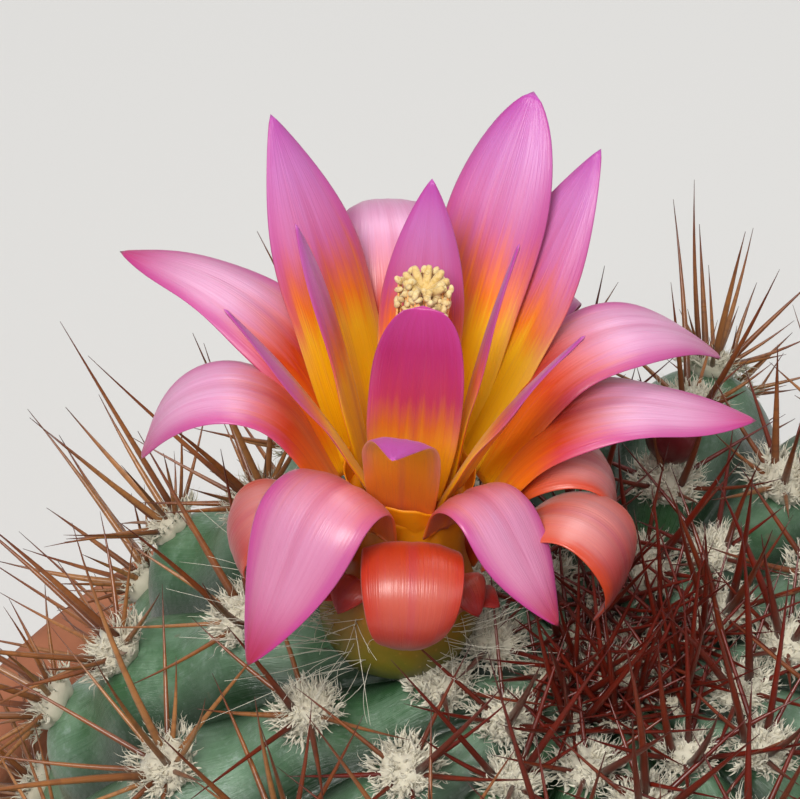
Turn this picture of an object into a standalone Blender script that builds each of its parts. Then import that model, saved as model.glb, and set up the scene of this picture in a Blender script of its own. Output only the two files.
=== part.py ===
"""A round ribbed cactus in a plain pot, with one open flower and one closed bud.

Lengths in the sizes below are millimetres and angles are degrees; a mesh is
scaled to metres when it is made.  +Z is up, the pot stands on z = 0 and the
front of the plant faces -Y.
"""

from dataclasses import dataclass
from math import cos, pi, radians, sin

import bpy
import numpy as np

MM = 0.001
GAP = 0.3

# Pot: a tapered wall with a rim band, one hole in the floor.
POT_HEIGHT = 92.0
POT_FOOT_RADIUS = 43.0
POT_TAPER = 0.2
POT_WALL = 4.5
POT_FLOOR = 6.0
POT_RIM_BAND = 18.0
POT_RIM_OVERHANG = 6.2
POT_HOLE_RADIUS = 7.0
POT_SIDES = 56

# Soil: fills the pot to below its rim and holds the rounded root end of the stem.
SOIL_DROP = 12.0
SOIL_LEVEL = POT_HEIGHT - SOIL_DROP
SEAT_GAP = 0.7
SEAT_ROWS = 9

# Stem: a superellipse turned round Z, cut into ribs by sharp furrows.
STEM_RADIUS = 46.0
STEM_WAIST = SOIL_LEVEL + 26.0
STEM_UPPER = 36.5
STEM_LOWER = 44.0
STEM_UPPER_POWER = 2.65
STEM_LOWER_POWER = 2.2
CROWN_DIP = 2.7
CROWN_DIP_RADIUS = 9.0
RIB_COUNT = 16
RIB_PHASE = 166.0
RIB_DEPTH = 6.2
RIB_SIDES = 8
STEM_ROWS = 30

# Areoles: woolly pads on the rib crests, each with spreading spines.
# The numbers are distances along the crest from the middle of the crown.
EVEN_RIB_ROWS = (41.0, 64.0)
ODD_RIB_ROWS = (34.5,)
WAIST_ROW = 60.0
INNER_ROW = 18.0
INNER_RIBS = (2, 4, 6, 8, 10, 14)
AREOLE_RADIUS = 2.3
AREOLE_HEIGHT = 1.6
AREOLE_SIDES = 7
SPINE_BASE = 0.24
RADIAL_SPINE = 12.0
CENTRAL_SPINE = 19.0
RADIAL_RISE = 34.0

# Crown wool and bud.
WOOL_RADIUS = 6.2
WOOL_HEIGHT = 2.4
BUD_RIB = 12
BUD_ROW = 20.5
BUD_RADIUS = 2.1
BUD_LENGTH = 6.0

# Flower: it leaves the crown beside rib 0, leaning a little back and to the right.
# Heights run along the flower axis from a point that lies sunk under the crest.
FLOWER_ROW = 16.5
FLOWER_TURN = 3.4
FLOWER_SINK = 1.2
FLOWER_AXIS = np.array([0.062, 0.189, 0.980])
TUBE_START = 2.4
TUBE_RIM = 15.2
TUBE_FLOOR = 8.0
TUBE_BULGE = 5.0
TUBE_NECK = 3.3
TUBE_SIDES = 24
STYLE_RADIUS = 0.45
STIGMA_HEIGHT = TUBE_RIM + 18.8
STIGMA_RADIUS = 1.25
STAMEN_COUNT = 10
STAMEN_CIRCLE = 1.35
STAMEN_TOP = STIGMA_HEIGHT - 3.0
TEPAL_THICKNESS = 0.55
TEPAL_STEPS = 13


@dataclass(frozen=True)
class Tepal:
    """One petal-like part of the flower.

    azimuth is measured round the flower axis.  rise is the height of the
    base over the rim of the tube and offset its distance out from the tube's
    neck, so both are negative for a base under or inside the rim.  lean is
    the angle from the flower axis at the base and at the tip, and bend is the
    part of the length over which the lean changes.
    """

    name: str
    azimuth: float
    rise: float
    offset: float
    length: float
    width: float
    lean: tuple
    bend: tuple = (0.0, 1.0)
    widest: float = 0.5
    tip_power: float = 1.8
    tip_round: float = 0.9
    yaw: float = 0.0
    cup: float = 0.15
    base: float = 0.16


TEPALS = (
    Tepal("tepal_back_left", 133, 0.8, 0.5, 26, 7.8, (22, 36)),
    Tepal("tepal_left_high", 149, 0.0, 1.2, 26, 7.4, (22, 102), (0.0, 0.95)),
    Tepal("tepal_left_arched", 181.5, -0.3, 1.6, 22.8, 7.8, (28, 166), (0.2, 0.98)),
    Tepal("tepal_inner_left", 174, 1.3, -0.3, 21.5, 5.0, (12, 22), yaw=-3),
    Tepal("tepal_inner_low_left", 205, 0.8, -0.3, 23, 5.5, (28, 36)),
    Tepal("tepal_back_arched", 98, -0.2, 1.7, 26, 8.2, (25, 145), (0.3, 1.0)),
    Tepal("tepal_inner_back", 88, 1.8, -0.9, 21.5, 6.0, (5, 14)),
    Tepal("tepal_inner_front", 267, 1.3, -0.9, 17.5, 6.6, (8, -4), tip_power=2.8, tip_round=0.4),
    Tepal("tepal_back_right", 64, 0.8, 0.5, 27, 7.5, (22, 36), widest=0.62, tip_power=2.2, tip_round=0.75),
    Tepal("tepal_right_high", 46, 0.4, 0.9, 25, 7.0, (28, 38)),
    Tepal("tepal_inner_right", 350, 1.3, -0.3, 22, 4.5, (5, 12)),
    Tepal("tepal_inner_low_right", 329, 0.8, -0.1, 21, 5.5, (21, 32)),
    Tepal("tepal_right_arched", 23.2, 0.0, 2.0, 26, 7.6, (24.4, 136), (0.1, 1.0)),
    Tepal("tepal_right_level", 4, -0.7, 2.25, 23.2, 7.6, (27, 101), (0.1, 0.75)),
    Tepal("tepal_right_behind", 52, -1.2, 2.4, 21, 6.4, (31, 155), (0.35, 1.0)),
    Tepal("tepal_inner_scale", 262, 0.3, -0.1, 18.6, 5.5, (25, 76), (0.45, 1.0)),
    Tepal("tepal_front_left", 232, -1.0, 1.1, 22.8, 8.2, (20, 150), (0.12, 0.62)),
    Tepal("tepal_left_curled", 195, -5.6, 1.5, 18, 7.0, (30, 215), (0.15, 0.9)),
    Tepal("tepal_front_right", 308, -0.6, 0.9, 17.3, 6.2, (19, 138), (0.12, 0.6), yaw=9),
    Tepal("tepal_right_curled", 336, -3.2, 3.4, 20.8, 6.9, (35, 204), (0.15, 0.9)),
    Tepal("tepal_right_curled_behind", 1.5, -1.8, 2.1, 19.5, 6.3, (35, 204), (0.12, 0.9)),
    Tepal("tepal_front_curled", 271, -5.2, 1.5, 22, 7.2, (15, 230), (0.1, 0.95)),
)


@dataclass(frozen=True)
class Finish:
    """A plain material: its colour and its roughness."""

    name: str
    color: tuple
    roughness: float


TERRACOTTA = Finish("terracotta", (0.48, 0.2, 0.11), 0.85)
POTTING_SOIL = Finish("potting_soil", (0.09, 0.065, 0.045), 0.95)
STEM_SKIN = Finish("stem_skin", (0.11, 0.25, 0.15), 0.55)
WOOL = Finish("wool", (0.78, 0.74, 0.6), 0.95)
SPINE_WOOL = Finish("spined_wool", (0.42, 0.16, 0.08), 0.7)
TUBE_SKIN = Finish("tube_skin", (0.72, 0.24, 0.05), 0.5)
TEPAL_SKIN = Finish("tepal_skin", (0.82, 0.16, 0.42), 0.4)
POLLEN = Finish("pollen", (0.9, 0.82, 0.5), 0.8)
FILAMENT = Finish("filament", (0.88, 0.5, 0.2), 0.6)
BUD_SKIN = Finish("bud_skin", (0.3, 0.03, 0.05), 0.5)


class Body:
    """Vertices and faces of one closed body, in millimetres."""

    def __init__(self):
        self.verts = []
        self.faces = []

    def add(self, points):
        """Append points and return their indices."""
        first = len(self.verts)
        self.verts.extend(tuple(float(v) for v in p) for p in points)
        return list(range(first, len(self.verts)))

    def bridge(self, lower, upper):
        """Join two closed rings of equal length with quads."""
        count = len(lower)
        for i in range(count):
            j = (i + 1) % count
            self.faces.append((lower[i], lower[j], upper[j], upper[i]))

    def fan(self, ring, apex):
        """Close a ring onto one point."""
        count = len(ring)
        for i in range(count):
            self.faces.append((ring[i], ring[(i + 1) % count], apex))

    def spike(self, face, base, tip, inset):
        """Close a ring of vertices with a thin straight spike instead of a flat face."""
        corners = np.array([self.verts[i] for i in face])
        middle = corners.mean(axis=0)
        root = self.add(middle + (corners - middle) * inset + (base - middle))
        self.bridge(face, root)
        self.fan(root, self.add([tip])[0])

    def make(self, name, finish):
        """Create the Blender object of this body, scaled to metres."""
        mesh = bpy.data.meshes.new(name)
        points = (np.array(self.verts) * MM).tolist()
        mesh.from_pydata(points, [], self.faces)
        mesh.validate()
        mesh.update()
        mesh.materials.append(material(finish))
        obj = bpy.data.objects.new(name, mesh)
        bpy.context.scene.collection.objects.link(obj)
        return obj


def material(finish):
    """Return the Principled material of a finish, made once."""
    found = bpy.data.materials.get(finish.name)
    if found is not None:
        return found
    made = bpy.data.materials.new(finish.name)
    made.use_nodes = True
    shader = made.node_tree.nodes["Principled BSDF"]
    shader.inputs["Base Color"].default_value = (*finish.color, 1.0)
    shader.inputs["Roughness"].default_value = finish.roughness
    made.diffuse_color = (*finish.color, 1.0)
    return made


def unit(vector):
    """Return a vector scaled to length one."""
    return vector / np.linalg.norm(vector)


def circle(radius, height, sides, turn=0.0):
    """Return the points of a horizontal ring."""
    angle = 2 * pi * np.arange(sides) / sides + turn
    return np.stack([radius * np.cos(angle), radius * np.sin(angle), np.full(sides, height)], 1)


def pot_outer(height):
    """Return the outer radius of the pot wall under its rim band."""
    return POT_FOOT_RADIUS + POT_TAPER * height


def pot_inner(height):
    """Return the inner radius of the pot wall."""
    return pot_outer(height) - POT_WALL


def crest(count):
    """Return the rib crest from the crown to the root end.

    Args:
        count: number of points along the curve.

    Returns:
        Radii and heights of the points, crown first.
    """
    upper = np.linspace(pi / 2, 0, count)
    lower = np.linspace(0, pi / 2, count)[1:]
    radius = np.concatenate([
        STEM_RADIUS * np.cos(upper).clip(0) ** (2 / STEM_UPPER_POWER),
        STEM_RADIUS * np.cos(lower).clip(0) ** (2 / STEM_LOWER_POWER),
    ])
    height = np.concatenate([
        STEM_WAIST + STEM_UPPER * np.sin(upper) ** (2 / STEM_UPPER_POWER),
        STEM_WAIST - STEM_LOWER * np.sin(lower) ** (2 / STEM_LOWER_POWER),
    ])
    height = np.where(height > STEM_WAIST, height - CROWN_DIP * np.exp(-((radius / CROWN_DIP_RADIUS) ** 2)), height)
    return radius, height


def crest_at(distance):
    """Return radius, height and outward normal of the crest at distances from the crown's middle."""
    radius, height = crest(600)
    along = np.concatenate([[0], np.cumsum(np.hypot(np.diff(radius), np.diff(height)))])
    r = np.interp(distance, along, radius)
    z = np.interp(distance, along, height)
    r1 = np.interp(np.add(distance, 0.4), along, radius)
    z1 = np.interp(np.add(distance, 0.4), along, height)
    r0 = np.interp(np.subtract(distance, 0.4), along, radius)
    z0 = np.interp(np.subtract(distance, 0.4), along, height)
    run = np.hypot(r1 - r0, z1 - z0)
    return r, z, -(z1 - z0) / run, (r1 - r0) / run


def crest_frame(rib, distance):
    """Return the point on a rib's crest, its normal and its sideways direction."""
    r, z, nr, nz = crest_at(distance)
    angle = radians(RIB_PHASE + rib * 360 / RIB_COUNT)
    out = np.array([cos(angle), sin(angle), 0.0])
    side = np.array([-sin(angle), cos(angle), 0.0])
    up = np.array([0.0, 0.0, 1.0])
    return out * r + up * z, out * nr + up * nz, side


def flower_base():
    """Return the point from which heights run along the flower axis."""
    r, z, _, _ = crest_at(FLOWER_ROW)
    angle = radians(RIB_PHASE + FLOWER_TURN)
    return np.array([r * cos(angle), r * sin(angle), z - FLOWER_SINK])


def build_pot():
    """Build the pot as one turned wall with a rim band and a floor hole."""
    band = POT_HEIGHT - POT_RIM_BAND
    rim = pot_outer(band) + POT_RIM_OVERHANG
    profile = (
        (POT_HOLE_RADIUS, 0.0),
        (POT_FOOT_RADIUS - 1.5, 0.0),
        (pot_outer(1.5), 1.5),
        (pot_outer(band), band),
        (rim - 1.5, band + 0.6),
        (rim, band + 2.2),
        (rim, POT_HEIGHT - 2.0),
        (rim - 2.0, POT_HEIGHT),
        (pot_inner(POT_HEIGHT) + 1.5, POT_HEIGHT),
        (pot_inner(POT_HEIGHT - 1.5), POT_HEIGHT - 1.5),
        (pot_inner(SOIL_LEVEL), SOIL_LEVEL),
        (pot_inner(POT_FLOOR), POT_FLOOR),
        (POT_HOLE_RADIUS, POT_FLOOR),
    )
    body = Body()
    rings = [body.add(circle(r, z, POT_SIDES)) for r, z in profile]
    for lower, upper in zip(rings, rings[1:] + rings[:1]):
        body.bridge(lower, upper)
    body.make("pot", TERRACOTTA)


def build_soil():
    """Build the soil with the round seat of the stem's root end."""
    radius, height = crest(600)
    along = np.concatenate([[0], np.cumsum(np.hypot(np.diff(radius), np.diff(height)))])
    start = along[np.argmax((height < SOIL_LEVEL - 1.0) & (radius < STEM_RADIUS * 0.95))]
    r, z, nr, nz = crest_at(np.linspace(start, along[-1] - 4.0, SEAT_ROWS))
    seat_r = r + SEAT_GAP * nr
    seat_z = z + SEAT_GAP * nz
    body = Body()
    bottom = POT_FLOOR + GAP
    rings = [
        body.add(circle(pot_inner(bottom) - GAP, bottom, POT_SIDES)),
        body.add(circle(pot_inner(SOIL_LEVEL - 1.0) - GAP, SOIL_LEVEL - 1.0, POT_SIDES)),
        body.add(circle(pot_inner(SOIL_LEVEL) - GAP - 1.5, SOIL_LEVEL, POT_SIDES)),
        body.add(circle(seat_r[0] + 1.2, SOIL_LEVEL, POT_SIDES)),
    ]
    rings.extend(body.add(circle(r, z, POT_SIDES)) for r, z in zip(seat_r, seat_z))
    for lower, upper in zip(rings, rings[1:]):
        body.bridge(lower, upper)
    floor = seat_z[-1] - 1.0
    body.fan(rings[-1], body.add([(0, 0, floor)])[0])
    body.fan(rings[0][::-1], body.add([(0, 0, bottom)])[0])
    body.make("soil", POTTING_SOIL)


def build_stem():
    """Build the ribbed stem, round where it is buried."""
    radius, height = crest(600)
    along = np.concatenate([[0], np.cumsum(np.hypot(np.diff(radius), np.diff(height)))])
    stops = np.linspace(0, along[-1], STEM_ROWS + 2)[1:-1]
    r, z, nr, nz = crest_at(stops)
    above = np.clip((z - SOIL_LEVEL - 1.0) / 12.0, 0, 1)
    fade = above * above * (3 - 2 * above)
    depth = RIB_DEPTH * (r / STEM_RADIUS) ** 0.8 * fade
    count = RIB_COUNT * RIB_SIDES
    angle = radians(RIB_PHASE) + 2 * pi * np.arange(count) / count
    across = (np.arange(count) % RIB_SIDES) / RIB_SIDES
    across = np.minimum(across, 1 - across) * 2
    furrow = across ** 2.2
    body = Body()
    rings = []
    for i in range(STEM_ROWS):
        rr = r[i] - depth[i] * nr[i] * furrow
        zz = z[i] - depth[i] * nz[i] * furrow
        rings.append(body.add(np.stack([rr * np.cos(angle), rr * np.sin(angle), zz], 1)))
    rings.reverse()
    for lower, upper in zip(rings, rings[1:]):
        body.bridge(lower, upper)
    body.fan(rings[-1], body.add([(0, 0, height[0])])[0])
    body.fan(rings[0][::-1], body.add([(0, 0, height[-1])])[0])
    body.make("cactus_stem", STEM_SKIN)


def build_areole(name, rib, distance, turn, reach):
    """Build one woolly pad with its ring of spines and one central spine.

    Args:
        name: object name.
        rib: index of the rib that carries it.
        distance: distance along the crest from the middle of the crown.
        turn: angle of the first spine, in degrees.
        reach: factor on the spine lengths.
    """
    point, normal, side = crest_frame(rib, distance)
    ahead = np.cross(side, normal)
    body = Body()

    def ring(radius, height):
        angle = radians(turn) + 2 * pi * np.arange(AREOLE_SIDES) / AREOLE_SIDES
        flat = np.outer(np.cos(angle), side) + np.outer(np.sin(angle), ahead)
        return body.add(point + normal * (GAP + height) - flat * radius)

    foot = ring(AREOLE_RADIUS * 0.8, 0.0)
    middle = ring(AREOLE_RADIUS, AREOLE_HEIGHT * 0.45)
    top = ring(AREOLE_RADIUS * 0.42, AREOLE_HEIGHT)
    body.bridge(foot[::-1], middle[::-1])
    body.faces.append(tuple(foot))
    for i in range(AREOLE_SIDES):
        j = (i + 1) % AREOLE_SIDES
        face = [middle[j], middle[i], top[i], top[j]]
        centre = np.mean([body.verts[k] for k in face], axis=0)
        flat = centre - point
        flat = unit(flat - normal * (flat @ normal))
        rise = radians(RADIAL_RISE + 9 * sin(2.4 * i + rib))
        way = flat * cos(rise) + normal * sin(rise)
        length = RADIAL_SPINE * reach * (1.0 + 0.16 * sin(1.7 * i + 2.3 * rib))
        body.spike(face, centre + way * 0.3, centre + way * length, SPINE_BASE)
    centre = np.mean([body.verts[k] for k in top], axis=0)
    lean = 0.22 * sin(1.3 * rib + distance) * side + 0.18 * cos(2.1 * rib) * ahead
    way = unit(normal + lean)
    body.spike(top[::-1], centre + way * 0.3, centre + way * CENTRAL_SPINE * reach, SPINE_BASE * 1.5)
    body.make(name, SPINE_WOOL)


def build_areoles():
    """Build the pads of the shoulder, the waist and the inner crown."""
    step = 0
    for rib in range(RIB_COUNT):
        for row in EVEN_RIB_ROWS if rib % 2 == 0 else ODD_RIB_ROWS:
            reach = 1.0 if row < WAIST_ROW else 0.9
            build_areole(f"areole_rib{rib + 1:02d}_row{int(row)}", rib, row, 25.0 * step, reach)
            step += 1
    for rib in INNER_RIBS:
        build_areole(f"areole_rib{rib + 1:02d}_crown", rib, INNER_ROW, 25.0 * step, 0.8)
        step += 1


def build_crown_wool():
    """Build the low lumpy cushion of wool in the dip of the crown."""
    sides = 20
    body = Body()
    angle = 2 * pi * np.arange(sides) / sides
    lump = 1.0 + 0.09 * np.sin(5 * angle) + 0.05 * np.sin(8 * angle + 1.0)
    rings = []
    for part in (0.45, 0.85):
        r, z, _, _ = crest_at(WOOL_RADIUS * part)
        rings.append(body.add(np.stack([r * lump * np.cos(angle), r * lump * np.sin(angle),
                                        np.full(sides, z + GAP * 1.3)], 1)))
    for part, lift in ((1.0, 0.45), (0.86, 0.8), (0.5, 1.0)):
        r, z, _, _ = crest_at(WOOL_RADIUS * part)
        high = z + GAP + WOOL_HEIGHT * lift * (1.0 + 0.16 * np.sin(3 * angle + 4 * part))
        rings.append(body.add(np.stack([r * lump * np.cos(angle), r * lump * np.sin(angle), high], 1)))
    for lower, upper in zip(rings, rings[1:]):
        body.bridge(lower, upper)
    _, bottom, _, _ = crest_at(0.5)
    body.fan(rings[0][::-1], body.add([(0, 0, bottom + GAP)])[0])
    body.fan(rings[-1], body.add([(0, 0, bottom + GAP + WOOL_HEIGHT * 1.3)])[0])
    body.make("crown_wool", WOOL)


def turned(body, base, axis, profile, sides, ripple=None):
    """Add the rings of a solid turned round an axis and bridge them.

    Args:
        body: body that takes the rings.
        base: point on the axis where heights are measured from.
        axis: unit direction of the axis.
        profile: pairs of radius and height.
        sides: number of points in a ring.
        ripple: optional factor on the radius per point of a ring.

    Returns:
        The first and last ring.
    """
    e1 = unit(np.array([1.0, 0, 0]) - axis * axis[0])
    e2 = np.cross(axis, e1)
    angle = 2 * pi * np.arange(sides) / sides
    flat = np.outer(np.cos(angle), e1) + np.outer(np.sin(angle), e2)
    if ripple is not None:
        flat = flat * ripple[:, None]
    rings = [body.add(base + axis * h + flat * r) for r, h in profile]
    for lower, upper in zip(rings, rings[1:]):
        body.bridge(lower, upper)
    return rings[0], rings[-1]


def build_bud():
    """Build the closed bud standing on its rib."""
    point, normal, _ = crest_frame(BUD_RIB, BUD_ROW)
    axis = unit(normal + np.array([0.0, 0.0, 0.6]))
    profile = [(BUD_RADIUS * 0.5, 0.5), (BUD_RADIUS * 0.72, 0.9)]
    for part in (0.25, 0.42, 0.6, 0.78, 0.92):
        profile.append((BUD_RADIUS * sin(pi * part ** 0.85) ** 0.6, BUD_LENGTH * part + 0.4))
    body = Body()
    foot, top = turned(body, point, axis, profile, 12)
    body.fan(foot[::-1], body.add([point + axis * 0.5])[0])
    body.fan(top, body.add([point + axis * (BUD_LENGTH + 0.5)])[0])
    body.make("bud", BUD_SKIN)


def build_tube():
    """Build the flower tube: a swollen base, a neck and an open throat."""
    profile = (
        (2.6, TUBE_START),
        (TUBE_BULGE * 0.8, TUBE_START + 0.5),
        (TUBE_BULGE * 0.97, TUBE_START + 1.8),
        (TUBE_BULGE, TUBE_START + 3.2),
        (TUBE_BULGE * 0.9, TUBE_START + 5.0),
        (TUBE_NECK * 1.14, TUBE_START + 7.0),
        (TUBE_NECK, TUBE_START + 9.0),
        (TUBE_NECK, TUBE_RIM - 1.0),
        (TUBE_NECK + 0.2, TUBE_RIM),
        (TUBE_NECK - 1.0, TUBE_RIM),
        (TUBE_NECK - 1.2, TUBE_RIM - 1.0),
        (1.9, TUBE_FLOOR + 0.5),
        (1.6, TUBE_FLOOR),
    )
    base = flower_base()
    axis = unit(FLOWER_AXIS)
    body = Body()
    foot, floor = turned(body, base, axis, profile, TUBE_SIDES)
    body.fan(foot[::-1], body.add([base + axis * TUBE_START])[0])
    body.fan(floor, body.add([base + axis * TUBE_FLOOR])[0])
    body.make("flower_tube", TUBE_SKIN)


def build_style():
    """Build the style with its lobed stigma head."""
    base = flower_base()
    axis = unit(FLOWER_AXIS)
    sides = 12
    lobes = 1.0 + 0.3 * np.cos(pi * np.arange(sides))
    shaft = [(STYLE_RADIUS, TUBE_FLOOR + GAP), (STYLE_RADIUS, STIGMA_HEIGHT - 2.6)]
    head = [
        (STIGMA_RADIUS * 0.8, STIGMA_HEIGHT - 1.6),
        (STIGMA_RADIUS, STIGMA_HEIGHT - 0.4),
        (STIGMA_RADIUS * 0.9, STIGMA_HEIGHT + 0.7),
    ]
    body = Body()
    foot, neck = turned(body, base, axis, shaft, sides)
    low, top = turned(body, base, axis, head, sides, lobes)
    body.bridge(neck, low)
    body.fan(foot[::-1], body.add([base + axis * (TUBE_FLOOR + GAP)])[0])
    body.fan(top, body.add([base + axis * (STIGMA_HEIGHT + 1.1)])[0])
    body.make("style", POLLEN)


def build_stamens():
    """Build the ring of filaments with their anthers, joined by a low collar."""
    base = flower_base()
    axis = unit(FLOWER_AXIS)
    e1 = unit(np.array([1.0, 0, 0]) - axis * axis[0])
    e2 = np.cross(axis, e1)
    count = STAMEN_COUNT
    inner_r = STAMEN_CIRCLE - 0.28
    outer_r = STAMEN_CIRCLE + 0.28
    body = Body()

    def ring(radius, height):
        angle = 2 * pi * np.arange(count) / count
        flat = np.outer(np.cos(angle), e1) + np.outer(np.sin(angle), e2)
        return body.add(base + axis * height + flat * radius)

    low = TUBE_FLOOR + 0.8
    rings = [ring(inner_r, low), ring(outer_r, low), ring(outer_r, low + 1.0), ring(inner_r, low + 1.0)]
    for lower, upper in ((0, 1), (1, 2), (3, 0)):
        body.bridge(rings[lower], rings[upper])
    for i in range(count):
        j = (i + 1) % count
        face = [rings[2][i], rings[2][j], rings[3][j], rings[3][i]]
        angle = 2 * pi * (i + 0.5) / count
        way = cos(angle) * e1 + sin(angle) * e2
        across = np.cross(axis, way)
        for part, reach in ((0.16, low + 2.0), (0.13, STAMEN_TOP - 2.0), (0.36, STAMEN_TOP - 1.2),
                            (0.34, STAMEN_TOP + 0.6 * (i % 2))):
            middle = base + axis * reach + way * (STAMEN_CIRCLE + 0.028 * (reach - low))
            corners = [middle + way * part * a + across * part * b for a, b in ((1, -1), (1, 1), (-1, 1), (-1, -1))]
            upper = body.add(corners)
            body.bridge(face, upper)
            face = upper
        body.faces.append(tuple(face))
    body.make("stamens", FILAMENT)


def tepal_surface(tepal, steps, across):
    """Return the middle surface of a tepal.

    Args:
        tepal: the tepal's sizes.
        steps: number of stretches along its length.
        across: positions across the width, from -1 to 1.

    Returns:
        Points by step and position, and the inward normal by step.
    """
    axis = unit(FLOWER_AXIS)
    e1 = unit(np.array([1.0, 0, 0]) - axis * axis[0])
    e2 = np.cross(axis, e1)
    azimuth = radians(tepal.azimuth)
    out = cos(azimuth) * e1 + sin(azimuth) * e2
    side = np.cross(axis, out)
    s = np.linspace(0, 1, steps + 1)
    t = np.clip((s - tepal.bend[0]) / (tepal.bend[1] - tepal.bend[0]), 0, 1)
    t = t * t * (3 - 2 * t)
    lean = np.radians(tepal.lean[0] + (tepal.lean[1] - tepal.lean[0]) * t)
    yaw = radians(tepal.yaw) * s
    way = np.outer(np.cos(lean), axis) + np.outer(np.sin(lean), out)
    way = way * np.cos(yaw)[:, None] + np.outer(np.sin(yaw), side)
    middle = np.zeros((steps + 1, 3))
    middle[1:] = np.cumsum((way[1:] + way[:-1]) / 2, 0) * tepal.length / steps
    middle += flower_base() + axis * (TUBE_RIM + tepal.rise) + out * (TUBE_NECK + tepal.offset)
    flat = side - way * (way @ side)[:, None]
    flat /= np.linalg.norm(flat, axis=1)[:, None]
    inward = np.cross(flat, way)
    rise = np.clip(s / tepal.widest, 0, 1)
    fall = np.clip((s - tepal.widest) / (1 - tepal.widest), 0, 1)
    shape = tepal.base + (1 - tepal.base) * np.sin(pi / 2 * rise)
    shape = shape * (1 - fall ** tepal.tip_power) ** tepal.tip_round
    half = tepal.width / 2 * shape
    across = np.asarray(across)
    points = middle[:, None] + (half[:, None] * across)[:, :, None] * flat[:, None]
    points = points + (tepal.cup * half[:, None] * across ** 2)[:, :, None] * inward[:, None]
    return points, inward


def build_tepal(tepal):
    """Build one tepal as a thin blade that thins out to its edges and tip."""
    across = (-1.0, -0.62, 0.0, 0.62, 1.0)
    points, inward = tepal_surface(tepal, TEPAL_STEPS, across)
    thick = TEPAL_THICKNESS / 2 * np.linspace(1.0, 0.6, TEPAL_STEPS + 1)
    shoulder = 0.78
    body = Body()
    rings = []
    for i in range(TEPAL_STEPS):
        left, low, mid, high, right = points[i]
        lift = inward[i] * thick[i]
        slope = lift * shoulder
        rings.append(body.add([left, low + slope, mid + lift, high + slope, right,
                               high - slope, mid - lift, low - slope]))
    for lower, upper in zip(rings, rings[1:]):
        body.bridge(lower, upper)
    tip = body.add([points[-1].mean(axis=0)])[0]
    body.fan(rings[-1], tip)
    foot = rings[0]
    body.faces.append((foot[4], foot[3], foot[2], foot[1], foot[0]))
    body.faces.append((foot[7], foot[6], foot[5], foot[4], foot[0]))
    body.make(tepal.name, TEPAL_SKIN)


def main():
    """Clear the scene and build every body."""
    for obj in list(bpy.data.objects):
        bpy.data.objects.remove(obj, do_unlink=True)
    build_pot()
    build_soil()
    build_stem()
    build_areoles()
    build_crown_wool()
    build_bud()
    build_tube()
    build_style()
    build_stamens()
    for tepal in TEPALS:
        build_tepal(tepal)


main()
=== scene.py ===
"""Potted round cactus in flower, dressed over its CAD frame.

Shapes are worked out in millimetres with numpy, as rings or strands of points
in the part's own frame, and scaled to metres when a mesh is made.  +Z is up and
the front of the plant faces -Y.
"""

import logging
from dataclasses import dataclass
from enum import Enum
from math import cos, pi, radians, sin
from typing import Any, NamedTuple, Sequence

import bpy
import numpy as np
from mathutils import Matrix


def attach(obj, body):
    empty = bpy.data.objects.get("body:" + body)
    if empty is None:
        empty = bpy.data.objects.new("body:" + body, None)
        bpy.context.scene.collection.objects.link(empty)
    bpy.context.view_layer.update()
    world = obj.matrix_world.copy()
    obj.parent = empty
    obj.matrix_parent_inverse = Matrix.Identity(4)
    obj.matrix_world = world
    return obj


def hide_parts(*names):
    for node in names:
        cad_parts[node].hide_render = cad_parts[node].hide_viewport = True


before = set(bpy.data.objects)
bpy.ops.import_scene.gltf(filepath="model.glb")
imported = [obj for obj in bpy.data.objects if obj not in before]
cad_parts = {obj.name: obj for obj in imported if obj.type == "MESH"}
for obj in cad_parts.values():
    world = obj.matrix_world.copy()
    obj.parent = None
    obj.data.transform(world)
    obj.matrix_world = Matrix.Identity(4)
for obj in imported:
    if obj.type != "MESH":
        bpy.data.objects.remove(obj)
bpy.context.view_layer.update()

LOG = logging.getLogger("cactus")
MM = 0.001
BODY = "root"

Array = np.ndarray
Color = tuple[float, float, float]
Ramp = Sequence[tuple[float, Color]]


def unit(vectors: Array) -> Array:
    """Scale vectors to length one, along the last axis.

    Args:
        vectors: one vector or any stack of them.

    Returns:
        The same directions with length one.
    """
    return vectors / np.linalg.norm(vectors, axis=-1, keepdims=True)


def smooth(values: Array, low: float, high: float) -> Array:
    """Ease values from 0 at low to 1 at high: t * t * (3 - 2 * t).

    Args:
        values: numbers to ease.
        low: where the rise starts.
        high: where it ends.

    Returns:
        Numbers from 0 to 1.
    """
    t = np.clip((values - low) / (high - low), 0, 1)
    return t * t * (3 - 2 * t)


def ripple(points: Array, size: float, seed: int) -> Array:
    """Smooth noise from a sum of eight sine waves in random directions.

    Args:
        points: positions in millimetres, along the last axis.
        size: rough distance between two crests, in millimetres.
        seed: choice of the waves.

    Returns:
        Numbers near -1 to 1, one per point.
    """
    rng = np.random.default_rng(seed)
    ways = unit(rng.normal(size=(8, 3))) * rng.uniform(0.7, 1.6, (8, 1)) * 2 * pi / size
    phases = rng.uniform(0, 2 * pi, 8)
    return np.sin(points @ ways.T + phases).sum(axis=-1) / 4


def around(count: int) -> Array:
    """Angles of evenly spaced places round a circle."""
    return 2 * pi * np.arange(count) / count


def spokes(angles: Array, one: Array, two: Array) -> Array:
    """Directions cos(angle) * one + sin(angle) * two, a row per angle."""
    return np.outer(np.cos(angles), one) + np.outer(np.sin(angles), two)


def random_turns(rng: np.random.Generator, count: int) -> Array:
    """Random turn matrices: the square parts of random matrices' QR splits."""
    ways = np.linalg.qr(rng.normal(size=(count, 3, 3)))[0]
    return ways * np.sign(np.linalg.det(ways))[:, None, None]


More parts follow.
